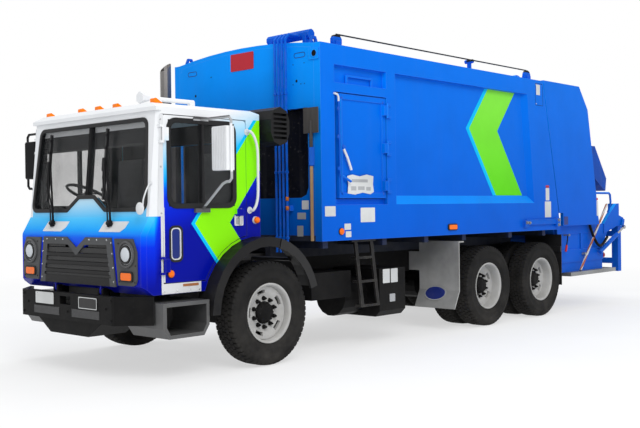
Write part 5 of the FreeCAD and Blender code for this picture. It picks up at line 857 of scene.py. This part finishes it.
for side, word in SIDES:
    bag = Bag()
    tread(bag, 0.0, side, FRONT_TYRE)
    bag.build("tread_front_" + word, "wheel_front_" + word, replaced=("tyre_front_" + word,))
    bag = Bag()
    rim(bag, 0.0, side, 1.198, 0.095, 1.163, 0.196, 0.232)
    bag.lathe([(0.10, 0.98), (0.112, 1.0), (0.112, 1.075)], wheel_place(0.0, side), 32, "frame_black")
    bag.lathe([(0.262, 1.02), (0.15, 0.985), (0.05, 0.985)], wheel_place(0.0, side), 32, "frame_black")
    bag.build("disc_front_" + word, "wheel_front_" + word, replaced=("rim_front_" + word,))
    for x, row in REAR_AXLES:
        bag = Bag()
        tread(bag, x, side, OUTER_TYRE)
        tread(bag, x, side, INNER_TYRE)
        bag.build("tread_" + row + "_" + word, "wheels_" + row + "_" + word,
                  replaced=("tyres_" + row + "_" + word,))
        bag = Bag()
        rim(bag, x, side, 1.210, 0.150, 1.120, 0.196, 0.228)
        place = wheel_place(x, side)
        bag.lathe([(0.300, 0.870), (0.300, 0.880), (0.286, 0.868), (0.262, 0.80), (0.262, 0.70),
                   (0.286, 0.654), (0.300, 0.644), (0.300, 0.654), (0.290, 0.666), (0.270, 0.70),
                   (0.270, 0.80), (0.286, 0.858)], place, 64, "wheel_grey", closed=True)
        bag.lathe([(0.264, 0.80), (0.215, 0.90), (0.178, 1.040), (0.112, 1.044)], place, 40, "wheel_grey")
        bag.lathe([(0.112, 1.040), (0.112, 0.60), (0.05, 0.60)], place, 32, "frame_black")
        bag.build("disc_" + row + "_" + word, "wheels_" + row + "_" + word,
                  replaced=("rims_" + row + "_" + word,))


# Cab front

screen = [(-0.985, 1.561), (-0.330, 1.561), (-0.130, 1.690), (0.130, 1.690), (0.330, 1.561), (0.985, 1.561),
          (0.915, 2.395), (-0.915, 2.395)]
radii = [0.07, 0.03, 0.03, 0.03, 0.03, 0.07, 0.07, 0.07]
bag = Bag()
wide = rounded(inset(screen, -0.016), [r + 0.014 for r in radii])
thin = rounded(inset(screen, 0.022), [max(0.016, r - 0.014) for r in radii])
bag.frame(wide, thin, on_screen, -0.006, 0.010, "gasket")
for u in (-0.016, 0.010):
    bag.plate((u, u + 0.006, 1.70, 2.39), 0, on_screen, -0.010, 0.008, "gasket")
bag.build("screen_gasket", "cab", bevel=0.003)

bag = Bag()
for s in (-1, 1):
    pad = [(s * 0.5 + 0.150, 1.358), (s * 0.5 - 0.190, 1.358), (s * 0.5 - 0.245, 1.395),
           (s * 0.5 - 0.265, 1.455), (s * 0.5 + 0.125, 1.455)]
    bag.slab(pad, on_brow, 0.0005, 0.0035, "white_trim")
bag.build("wiper_pads", "cab")

bag = Bag()
for s in (-0.5, 0.5):
    foot = Vector(on_brow(s, 1.425, 0.018))
    bag.bolt(foot, (-0.87, 0, 0.5), 0.026, 0.034, "plastic_black", 10)
    for d in (-0.018, 0.018):
        path = [on_brow(s + d, 1.425, 0.034), on_screen(s + 0.03 + d, 1.56, 0.062),
                on_screen(s + 0.13 + d * 0.8, 1.80, 0.056), on_screen(s + 0.17 + d * 0.3, 2.02, 0.048)]
        bag.tube(smooth_path(path, 4), 0.0075, "plastic_black", 8)
    blade_x = s + 0.17
    bag.slab(rect(blade_x - 0.012, blade_x + 0.012, 1.66, 2.34), on_screen, 0.012, 0.040, "rubber_black")
    bag.slab(rect(blade_x - 0.020, blade_x + 0.020, 1.93, 2.06), on_screen, 0.034, 0.056, "plastic_black")
    for z in (1.74, 1.86, 2.14, 2.26):
        bag.slab(rect(blade_x - 0.016, blade_x + 0.016, z, z + 0.03), on_screen, 0.026, 0.048,
                 "plastic_black")
bag.build("wiper_blades", "cab", bevel=0.002)

# Grille's mesh and rivets, lamp rings and lenses
bag = Bag()
for low, high, half in ((0.885, 0.955, 0.575), (0.995, 1.035, 0.560), (1.075, 1.115, 0.550),
                        (1.155, 1.205, 0.540)):
    bag.plate((-half, half, low, high), 0, on_front(GRILLE_FACE), 0.0, 0.003, "grille_mesh")
for s in (-1, 1):
    bag.plate((s * 0.20, s * 0.515, 1.212, 1.268), 0, on_front(GRILLE_FACE), 0.0, 0.003, "grille_mesh")
    for u, v in ((0.628, 0.90), (0.618, 1.03), (0.606, 1.16), (0.592, 1.26), (0.52, 1.285), (0.36, 1.285),
                 (0.23, 1.285)):
        bag.bolt(on_front(-1.439)(s * u, v, 0), (-1, 0, 0), 0.006, 0.005, "chrome", 8)
bag.build("grille_mesh", "cab")

bag = Bag()
lamp_y = 0.836
for s in (-1, 1):
    place = about(on_front(LAMP_FACE), s * lamp_y, 1.157)
    bag.lathe([(0.122, 0.013), (0.124, 0.026), (0.116, 0.034), (0.104, 0.030), (0.100, 0.016), (0.092, 0.024),
               (0.092, 0.010)], place, 48, "bezel_grey", closed=True)
    bag.lathe([(0.088, 0.026), (0.086, 0.034), (0.078, 0.036), (0.072, 0.030)], place, 48, "plate_dark")
    bag.lathe([(0.072, 0.0305), (0.066, 0.0335)], place, 40, "plate_dark")
    bag.lathe([(0.066, 0.0335), (0.060, 0.040), (0.042, 0.046), (0.020, 0.050), (0.0, 0.0505)], place, 40,
              "lamp_lens")
    for u, v in ((-0.13, 0.10), (0.13, -0.10), (0.12, -0.25), (-0.12, -0.25)):
        bag.bolt(place(u * s, v, 0.014), (-1, 0, 0), 0.006, 0.005, "plastic_black", 8)
    ring = rounded(rect(s * lamp_y - 0.098, s * lamp_y + 0.098, 0.908, 1.004), 0.026)
    hole = rounded(rect(s * lamp_y - 0.080, s * lamp_y + 0.080, 0.922, 0.990), 0.018)
    bag.frame(ring, hole, on_front(-1.438), 0.0, 0.014, "gasket")
    bag.slab(hole, on_front(LAMP_FACE), 0.020, 0.030, "lamp_amber")
bag.build("lamp_rings", "cab", bevel=0.002)

# Bumper plates, mesh strips and bolts
bag = Bag()
face = on_front(BUMPER_FACE)
bag.plate((0.20, 0.527, 0.655, 0.768), 0.010, face, 0.001, 0.006, "plate_white")
dark = rect(-0.546, -0.238, 0.642, 0.756)
bag.slab(rounded(dark, 0.010, 3), face, 0.001, 0.005, "plate_dark")
bag.frame(rounded(inset(dark, 0.003), 0.010, 3), rounded(inset(dark, 0.010), 0.008, 3), face, 0.005, 0.0065,
          "plate_white")
for u0, u1 in ((0.10, 0.56), (-0.58, -0.12)):
    bag.plate((u0, u1, 0.556, 0.632), 0, face, 0.001, 0.004, "bumper_mesh")
for u, v in ((-0.76, 0.74), (-0.76, 0.56), (0.76, 0.74), (0.76, 0.56), (-0.68, 0.66), (0.68, 0.66),
             (-0.04, 0.60)):
    bag.bolt(face(u, v, 0), (-1, 0, 0), 0.011, 0.010, "frame_black")
for u, v in ((0.235, 0.757), (0.49, 0.757), (-0.27, 0.745), (-0.51, 0.745)):
    bag.bolt(face(u, v, 0.006), (-1, 0, 0), 0.004, 0.004, "chrome")
bag.build("bumper_plates", "chassis", bevel=0.0012)

# Corner posts beside the windshield and the small round mirror
bag = Bag()
for s in (-1, 1):
    strip = [(-1.262, 1.50), (-1.205, 1.50), (-1.190, 2.43), (-1.226, 2.43)]
    bag.slab(strip, on_side(s * CAB_SIDE, s), 0.0, 0.006, "white_trim")
    bag.plate((-1.228, -1.206, 0.80, 1.50), 0, on_side(s * CAB_SIDE, s), 0.0, 0.005, "white_trim")
    for z in (1.53, 1.95, 2.38):
        bag.bolt((-1.222, s * 1.073, z), (0, s, 0), 0.008, 0.006, "chrome")
bag.build("corner_strips", "cab", bevel=0.0015)

bag = Bag()
mirror = about(on_front(-1.392), -1.005, 1.573)
bag.lathe([(0.0, 0.0), (0.045, 0.004), (0.056, 0.014), (0.056, 0.022), (0.050, 0.026), (0.0, 0.028)], mirror,
          32, "white_trim")
bag.tube(smooth_path([(-1.378, -1.005, 1.60), (-1.372, -1.010, 1.66), (-1.350, -1.025, 1.74),
                      (-1.318, -1.030, 1.80)]), 0.007, "white_trim", 8)
bag.bolt((-1.305, -1.03, 1.80), (-1, 0, 0), 0.014, 0.012, "white_trim", 8)
bag.build("round_mirror", "cab")


# Doors

window = rect(-1.130, -0.330, 1.590, 2.385)
low = rect(-1.120, -0.990, 1.090, 1.400)
for s, word in SIDES:
    side = on_side(s * DOOR_SIDE, s)
    bag = Bag()
    bag.frame(rounded(inset(window, -0.022), 0.105), rounded(inset(window, 0.026), 0.070), side, -0.004,
              0.009, "gasket")
    bag.plate((-0.729, -0.711, 1.60, 2.38), 0, side, -0.012, 0.004, "gasket")
    bag.frame(rounded(inset(low, -0.014), 0.055), rounded(inset(low, 0.006), 0.040), side, -0.003, 0.007,
              "gasket")
    bag.frame(rounded(inset(low, 0.006), 0.040), rounded(inset(low, 0.018), 0.032), side, -0.010, 0.004,
              "white_trim")
    # Navy slab behind the low window's glass: a painted reflection of blue in the glass.
    bag.slab(rounded(inset(low, 0.018), 0.032), side, -0.012, -0.006, "plate_navy")
    bag.build("window_seals_" + word, "door_" + word, bevel=0.003)
    bag = Bag()
    edge = rect(-1.202, -1.186, 0.895, 1.58)
    bag.slab(edge, side, 0.0, 0.005, "white_trim")
    handle = rounded(rect(-0.340, -0.228, 1.395, 1.500), 0.014)
    bag.slab(handle, side, 0.0005, 0.010, "white_trim")
    bag.slab(rounded(rect(-0.325, -0.243, 1.408, 1.470), 0.012), side, 0.009, 0.0135, "label_grey")
    bag.slab(rounded(rect(-0.292, -0.262, 1.400, 1.488), 0.008), side, 0.012, 0.026, "chrome")
    bag.bolt(side(-0.248, 1.545, 0), (0, s, 0), 0.013, 0.006, "chrome", 12)
    bag.slab(rounded(rect(-0.832, -0.662, 2.405, 2.432), 0.006), side, 0.001, 0.010, "bezel_grey")
    place = about(on_side(s * (DOOR_SIDE + 0.0005), s), -1.122, 0.972)
    bag.lathe([(0.040, 0.0), (0.040, 0.006), (0.034, 0.010)], place, 24, "gasket")
    bag.lathe([(0.034, 0.008), (0.032, 0.018), (0.020, 0.025), (0.0, 0.027)], place, 24, "lamp_amber")
    bag.build("door_fittings_" + word, "door_" + word, bevel=0.0015)

    # Parts of the cab's side behind the door and below it
    bag = Bag()
    rail = [(-0.160, s * 1.070, 2.318), (-0.160, s * 1.120, 2.318), (-0.128, s * 1.142, 2.262),
            (-0.090, s * 1.142, 2.14), (-0.086, s * 1.142, 1.90), (-0.090, s * 1.142, 1.70),
            (-0.110, s * 1.138, 1.60), (-0.134, s * 1.118, 1.545), (-0.134, s * 1.070, 1.545)]
    bag.tube(smooth_path(rail, 5), 0.014, "white_trim", 12)
    for x, z in ((-0.160, 2.318), (-0.134, 1.545)):
        bag.bolt((x, s * 1.067, z), (0, s, 0), 0.024, 0.010, "white_trim", 12)
    place = about(on_side(s * (DOOR_SIDE + 0.0005), s), -0.063, 1.446)
    bag.lathe([(0.038, 0.0), (0.036, 0.012), (0.032, 0.022)], place, 24, "white_trim")
    bag.lathe([(0.033, 0.020), (0.031, 0.040), (0.018, 0.052), (0.0, 0.054)], place, 24, "lamp_amber")
    sill = rect(-1.225, -0.768, 0.790, 0.884)
    bag.slab(sill, side, 0.0008, 0.004, "white_trim")
    bag.slab(rounded(rect(-0.985, -0.800, 0.848, 0.872), 0.006), side, 0.004, 0.007, "worn_orange")
    for x in (-1.20, -1.05, -0.90, -0.79):
        bag.bolt(side(x, 0.812, 0.004), (0, s, 0), 0.006, 0.004, "chrome")
    bag.build("cab_side_fittings_" + word, "cab")


# Mirrors: ribs on the back and the glass face
for word, s, x, colour in (("left", -1, -0.750, "white_trim"), ("right", 1, -1.080, "plastic_black")):
    bag = Bag()
    for k in range(9):
        y = s * (1.291 + k * 0.0228)
        bag.plate((y - 0.0045, y + 0.0045, 1.925, 2.31), 0, on_front(x - 0.045), -0.002, 0.004, colour)
    bag.slab(rounded(rect(s * 1.285, s * 1.480, 1.925, 2.310)[::s], 0.014), on_rear(x + 0.045), 0.0, 0.003,
             "chrome")
    bag.build("mirror_ribs_" + word, "door_" + word)


# Seats

def pad(name, centre, size, channels, body="cab", lean=0.0):
    """Crowned cushion with rolled edges and sewn channels."""
    work = bmesh.new()
    bmesh.ops.create_cube(work, size=2.0)
    bmesh.ops.subdivide_edges(work, edges=work.edges, cuts=15, use_grid_fill=True)
    lx, ly, lz = (v / 2 for v in size)
    thin = min(range(3), key=lambda i: size[i])
    for vertex in work.verts:
        p = vertex.co.copy()
        flat = [p[i] for i in range(3) if i != thin]
        round_off = (abs(flat[0]) ** 6 + abs(flat[1]) ** 6)
        crown = 1.0 - 0.42 * min(1.0, round_off / 1.3) - 0.05 * (flat[0] ** 2 + flat[1] ** 2)
        line = flat[0] if channels[0] == 0 else flat[1]
        groove = sum(math.exp(-((line - c) / 0.035) ** 2) for c in channels[1])
        crown -= 0.16 * groove * (1 if abs(p[thin]) > 0.9 else 0)
        pull = 1.0 - 0.035 * (1 - flat[0] ** 2) * (abs(flat[1]) > 0.95)
        pull -= 0.03 * (1 - flat[1] ** 2) * (abs(flat[0]) > 0.95)
        q = p * pull
        q[thin] = p[thin] * crown
        vertex.co = Vector((q.x * lx, q.y * ly, q.z * lz))
    turn = Matrix.Rotation(lean, 4, "Y")
    for vertex in work.verts:
        vertex.co = turn @ vertex.co + Vector((centre[0] - SHIFT, centre[1], centre[2]))
    for face in work.faces:
        face.smooth = True
    mesh = bpy.data.meshes.new(name)
    work.to_mesh(mesh)
    work.free()
    mesh.materials.append(M["seat_vinyl"])
    item = put_in_scene(name, mesh)
    level = item.modifiers.new("smooth", "SUBSURF")
    level.levels = level.render_levels = 1
    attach(item, body)
    return item


for s, word in SIDES:
    cushion = pad("seat_cushion_" + word, (-0.425, s * SEAT_MIDDLE, 1.500), (0.43, 0.465, 0.118),
                  (1, (-0.55, 0.55)))
    back = pad("seat_back_" + word, (-0.245, s * SEAT_MIDDLE, 1.845), (0.105, 0.450, 0.560),
               (1, (-0.5, 0.0, 0.5)), lean=0.045)
    if s < 0:
        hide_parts("seats")


# Load body: blank plates, door fittings, lamps, sleeves of the pipes

body_left = on_side(-BODY_SIDE)
bag = Bag()
lower = rounded(rect(5.375, 5.545, 1.385, 1.610), 0.006, 3)
upper = rounded(rect(5.400, 5.500, 1.625, 1.800), 0.006, 3)
bag.slab(lower, body_left, 0.0, 0.0015, "plate_white")
bag.slab(upper, body_left, 0.0, 0.0015, "plate_white")
bag.plate((5.405, 5.495, 1.805, 1.838), 0, body_left, 0.0, 0.0015, "plate_red")
bag.plate((5.17, 5.27, 3.10, 3.245), 0.006, body_left, 0.0, 0.0015, "plate_white")
bag.build("body_plates", "chassis")

bag = Bag()
door = on_side(-ACCESS_DOOR_SIDE)
torn = [(1.180, 1.712), (1.300, 1.700), (1.430, 1.722), (1.560, 1.704), (1.620, 1.730), (1.606, 1.815),
        (1.616, 1.905), (1.500, 1.922), (1.380, 1.900), (1.260, 1.918), (1.172, 1.900), (1.190, 1.810)]
bag.slab(torn, door, 0.001, 0.0035, "plate_white")
for x, wide, z0, z1 in ((1.235, 0.085, 1.745, 1.790), (1.350, 0.110, 1.750, 1.790),
                        (1.490, 0.075, 1.745, 1.785), (1.245, 0.270, 1.835, 1.868)):
    bag.plate((x, x + wide, z0, z1), 0, door, 0.0035, 0.0045, "label_grey")
for x, z in ((1.10, 1.71), (1.80, 1.71), (1.10, 2.74), (1.80, 2.74)):
    bag.bolt(door(x, z, 0), (0, -1, 0), 0.012, 0.008, "gear_steel")
bag.tube([(1.101, -1.226, 2.192), (1.150, -1.234, 2.100), (1.217, -1.230, 1.968)], 0.015, "white_trim", 10)
bag.bolt((1.104, -1.205, 2.205), (0, -1, 0), 0.024, 0.034, "gear_steel", 12)
bag.build("access_door_plate", "side_door")


bag = Bag()
for x0, x1, z0, z1 in ((1.375, 1.620, 1.395, 1.555), (1.105, 1.210, 1.318, 1.385),
                       (1.125, 1.215, 1.238, 1.302), (0.800, 0.965, 1.468, 1.575)):
    bag.plate((x0, x1, z0, z1), 0.006, body_left, 0.0, 0.0015, "plate_white")
wall = on_front(BODY_FRONT)
pipe_x = 0.693
bag.plate((-0.200, 0.182, 3.135, 3.330), 0.010, wall, 0.001, 0.005, "plate_red")
bracket = rounded(rect(-1.205, -1.062, 3.130, 3.250), 0.008, 3)
bag.slab(bracket, wall, 0.0005, 0.010, "body_blue")
# Near black disc inside the ring: painted shade in its opening.
bag.lathe([(0.0, 0.0105), (0.034, 0.0105)], about(wall, -1.142, 3.192), 28, "dark_gap")
bag.lathe([(0.034, 0.0100), (0.034, 0.016), (0.041, 0.016), (0.041, 0.0100)],
          about(wall, -1.142, 3.192), 28, "body_blue")
for y, z in ((-0.920, 3.198), (0.880, 3.184)):
    oval = rect(y - 0.084, y + 0.084, z - 0.028, z + 0.028)
    bag.frame(rounded(oval, 0.0275), rounded(inset(oval, 0.006), 0.0215), wall, 0.0005, 0.002, "plate_navy")
# Small near black discs on the wall: painted shade in the holes.
for y, z, r in ((-0.871, 2.925, 0.015), (0.826, 2.918, 0.015), (-0.822, 3.105, 0.006),
                (-0.987, 3.108, 0.006), (0.537, 3.112, 0.008), (-0.818, 2.890, 0.006),
                (-0.989, 2.888, 0.006), (-0.935, 2.889, 0.006)):
    bag.lathe([(0.0, 0.0012), (r, 0.0012), (r, 0.0004)], about(wall, y, z), 16, "dark_gap")
for y0, y1, z0, z1, look in ((-1.030, -0.930, 1.545, 1.640, "plate_white"),
                             (-0.985, -0.860, 1.440, 1.510, "label_grey"),
                             (-0.945, -0.855, 1.255, 1.370, "label_grey")):
    bag.plate((y0, y1, z0, z1), 0.006, wall, 0.001, 0.003, look)
for z in (1.56, 1.66):
    bag.lathe([(0.0145, z - 0.022), (0.0185, z - 0.020), (0.0185, z + 0.020), (0.0145, z + 0.022)],
              upright(pipe_x, -0.765), 16, "orange_hose")
for y in (-0.60, -0.655, -0.71, -0.765):
    for z in (1.24, 1.95, 2.35, 2.80):
        bag.lathe([(0.0142, z - 0.014), (0.021, z - 0.012), (0.021, z + 0.012), (0.0142, z + 0.014)],
                  upright(pipe_x, y), 6, "gear_steel", soft=False)
for x in (1.83, 1.975):
    bag.plate((x, x + 0.125, 0.690, 0.850), 0.008, on_side(-TANK_BOX_SIDE), 0.0, 0.0018, "plate_white")
bag.plate((1.95, 2.05, 0.470, 0.560), 0.008, on_side(-TANK_BOX_SIDE), 0.0, 0.0018, "label_grey")
bag.build("blank_plates", "chassis")

bag = Bag()
for s in (-1, 1):
    for x in (1.05, 3.11):
        if x < 2:
            place = about(on_side(s * BODY_SIDE, s), x, 1.302)
            bag.lathe([(0.040, 0.0), (0.040, 0.008), (0.036, 0.012)], place, 28, "gasket")
            bag.lathe([(0.036, 0.010), (0.033, 0.020), (0.020, 0.026), (0.0, 0.028)], place, 28, "lamp_amber")
        else:
            side = on_side(s * BODY_SIDE, s)
            outer = rounded(rect(x - 0.098, x + 0.098, 1.262, 1.342), 0.026)
            inner = rounded(rect(x - 0.082, x + 0.082, 1.274, 1.330), 0.018)
            bag.frame(outer, inner, side, 0.0, 0.016, "gasket")
            bag.slab(inner, side, 0.0, 0.021, "lamp_amber")
bag.build("side_lamps", "chassis", bevel=0.002, replaced=("body_lamps",))

# Latch rod of the load body and its brackets
bag = Bag()
rod_y = -1.232
bag.tube([(1.036, rod_y, 1.905), (1.030, rod_y, 2.30), (1.022, rod_y, 2.700)], 0.011, "gear_steel", 10)
bag.tube(smooth_path([(1.022, rod_y, 2.698), (1.018, rod_y, 2.742), (0.998, rod_y, 2.770),
                      (0.952, rod_y, 2.778)], 4), 0.012, "white_trim", 10)
for z in (1.98, 2.32, 2.62):
    bag.block(1.006, 1.052, rod_y, -1.219, z - 0.018, z + 0.018, "gear_steel")
bag.build("latch_rod", "chassis", bevel=0.0015)

# Lever, hose, tapes, rear post fittings and guard rod at the hopper
bag = Bag()
bag.tube([(6.128, -1.165, 1.110), (6.104, -1.172, 1.040), (6.070, -1.176, 0.960)], 0.009, "frame_black", 8)
bag.tube([(6.072, -1.176, 0.965), (6.060, -1.177, 0.930), (6.038, -1.178, 0.872)], 0.0165, "red_grip", 12)
bag.tube([(6.128, -1.100, 1.108), (6.128, -1.190, 1.112)], 0.012, "step_zinc", 10)
bag.bolt((6.128, -1.188, 1.112), (0, -1, 0), 0.014, 0.012, "step_zinc")
bag.build("latch_lever", "tailgate")

bag = Bag()
bag.tube(smooth_path([(6.850, -1.150, 1.262), (6.862, -1.156, 1.200), (6.935, -1.165, 1.070),
                      (7.030, -1.172, 0.965), (7.100, -1.176, 0.925), (7.175, -1.176, 0.925),
                      (7.270, -1.172, 0.965), (7.400, -1.165, 1.045)], 6), 0.021, "frame_black", 12)
bag.bolt((6.850, -1.150, 1.275), (0, 0, -1), 0.024, 0.030, "step_zinc")
bag.build("feed_hose", "tailgate")

bag = Bag()
bag.slab([(6.945, 1.385), (7.000, 1.385), (6.985, 1.615), (6.940, 1.615)], body_left, 0.0, 0.0012,
         "plate_white")
bag.slab([(6.940, 1.625), (6.985, 1.625), (6.982, 1.660), (6.940, 1.660)], body_left, 0.0, 0.0012,
         "plate_red")
bag.plate((5.922, 6.040, 1.268, 1.388), 0, body_left, 0.0, 0.0012, "plate_navy")
bag.block(5.775, 5.925, -1.112, -1.106, 1.245, 1.450, "dark_gap")
hatch = [(5.150, 2.955), (5.352, 2.955), (5.340, 3.262), (5.150, 3.262)]
bag.build("tailgate_tapes", "tailgate")
bag = Bag()
bag.frame(hatch, inset(hatch, 0.005), body_left, 0.0, 0.0008, "dark_gap")
for x, z in ((5.165, 2.975), (5.165, 3.245)):
    bag.bolt((x, -1.2200, z), (0, -1, 0), 0.007, 0.004, "chrome")
bag.block(4.840, 5.720, -1.2480, -1.2195, 1.290, 1.362, "gear_steel")
bag.block(4.780, 4.860, -1.2620, -1.2195, 1.262, 1.350, "gear_steel")
bag.block(5.640, 5.730, -1.2620, -1.2195, 1.250, 1.372, "gear_steel")
for x, z in ((4.812, 1.322), (4.905, 1.318), (5.685, 1.345), (5.685, 1.275)):
    bag.bolt((x, -1.2615 if x != 4.905 else -1.2475, z), (0, -1, 0), 0.017, 0.024, "step_zinc")
bag.build("rear_post_fittings", "chassis", bevel=0.002)

bag = Bag()
foot, top = Vector((6.480, -1.178, 0.572)), Vector((7.423, -1.150, 1.560))
bag.tube([foot + (top - foot) * t for t in (0.01, 0.25, 0.5, 0.75, 0.995)], 0.0178, "guard_rod", 16)
bag.build("guard_rod_sleeve", "tailgate")

# Oval blank plate and rolled edge of the mudguard
bag = Bag()
oval = [(-0.868 + 0.150 * math.cos(a), 0.462 + 0.078 * math.sin(a)) for a in turns(32)]
rim_line = [(-0.868 + 0.166 * math.cos(a), 0.462 + 0.092 * math.sin(a)) for a in turns(32)]
guard = lambda u, v, w: (3.250 - 0.0085 - w - max(0.0, (0.50 - v)) * 0.5, u, v)
bag.slab(oval, guard, 0.0, 0.003, "plate_navy")
bag.frame(rim_line, oval, guard, 0.0, 0.004, "label_grey")
bag.build("guard_plate", "chassis")


# Camera, floor and light

def camera():
    """Camera of the photo; its focal length and shifts are in the photo's pixels."""
    place = (-9.6625, -7.8872, 1.5550)
    yaw, pitch, roll = 0.8207, -0.0067, -0.0129
    photo_width, focal, shift_x, shift_y = 640, 931.17, -2.18, 0.47
    ahead = Vector((math.sin(yaw) * math.cos(pitch), math.cos(yaw) * math.cos(pitch), math.sin(pitch)))
    right = Vector((math.cos(yaw), -math.sin(yaw), 0))
    up = right.cross(ahead)
    axes = (right * math.cos(roll) + up * math.sin(roll), up * math.cos(roll) - right * math.sin(roll),
            -ahead)
    data = bpy.data.cameras.new("camera")
    data.sensor_width = 36
    data.lens = 36 * focal / photo_width
    data.shift_x = shift_x / photo_width
    data.shift_y = shift_y / photo_width
    data.clip_end = 400
    item = put_in_scene("camera", data)
    rows = [(*(axis[i] for axis in axes), place[i]) for i in range(3)]
    item.matrix_world = Matrix(rows + [(0, 0, 0, 1)])
    bpy.context.scene.camera = item


def seen_rays(tree):
    """1 for the rays that show a thing itself, also in paint and through glass."""
    rays = tree.nodes.new("ShaderNodeLightPath").outputs
    total = rays["Is Camera Ray"]
    for name in ("Is Glossy Ray", "Is Transmission Ray"):
        most = tree.nodes.new("ShaderNodeMath")
        most.operation = "MAXIMUM"
        tree.links.new(total, most.inputs[0])
        tree.links.new(rays[name], most.inputs[1])
        total = most.outputs[0]
    return total


def floor():
    """Light floor that fades to white away from the truck."""
    g = Graph("floor")
    tone = g.between(g.noise(0.7, 3), 0.3, 0.7)
    g.give("Base Color", g.mix(tone, (0.86, 0.86, 0.86), (0.90, 0.90, 0.90)))
    g.give("Roughness", 0.9)
    g.give("Specular IOR Level", 0.0)
    white = g.new("ShaderNodeEmission")
    white.inputs[0].default_value = (1, 1, 1, 1)
    white.inputs[1].default_value = 1.0
    blend = g.new("ShaderNodeMixShader")
    x, y = g.xyz()[:2]
    away = g.math("SQRT", g.plus(g.times(x, x), g.times(y, y)))
    share = g.plus(g.times(g.between(away, 6.5, 13.0), 0.42), 0.58)
    g.put(blend.inputs[0], g.times(seen_rays(g.tree), share))
    g.link(g.shader.outputs[0], blend.inputs[1])
    g.link(white.outputs[0], blend.inputs[2])
    g.link(blend.outputs[0], g.out.inputs[0])
    mesh = bpy.data.meshes.new("floor")
    reach = 150.0
    mesh.from_pydata([(x, y, -0.001) for x, y in rect(-reach, reach, -reach, reach)], [], [(0, 1, 2, 3)])
    mesh.materials.append(g.material)
    item = put_in_scene("floor", mesh)
    item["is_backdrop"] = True


def lights():
    """White surroundings, soft light from all sides and two lamps."""
    world = bpy.data.worlds.new("studio")
    bpy.context.scene.world = world
    world.use_nodes = True
    tree = world.node_tree
    tree.nodes.clear()
    out = tree.nodes.new("ShaderNodeOutputWorld")
    mix = tree.nodes.new("ShaderNodeMixShader")
    soft, plain = tree.nodes.new("ShaderNodeBackground"), tree.nodes.new("ShaderNodeBackground")
    soft.inputs[0].default_value = (0.95, 0.97, 1.0, 1)
    soft.inputs[1].default_value = 0.76
    plain.inputs[0].default_value = (1, 1, 1, 1)
    plain.inputs[1].default_value = 1.0
    tree.links.new(seen_rays(tree), mix.inputs[0])
    tree.links.new(soft.outputs[0], mix.inputs[1])
    tree.links.new(plain.outputs[0], mix.inputs[2])
    tree.links.new(mix.outputs[0], out.inputs[0])

    def area(name, place, target, size, power):
        data = bpy.data.lights.new(name, "AREA")
        data.shape = "DISK"
        data.size = size
        data.energy = power
        item = put_in_scene(name, data)
        item.location = place
        item.rotation_mode = "QUATERNION"
        item.rotation_quaternion = (Vector(target) - Vector(place)).to_track_quat("-Z", "Y")

    area("key", (-9.0, -12.0, 12.0), (0, 0, 1.2), 9.0, 1280)
    area("top", (1.0, 2.0, 14.0), (0, 0, 1.0), 10.0, 600)


camera()
floor()
lights()
bpy.context.scene.view_settings.view_transform = "Standard"

low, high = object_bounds()
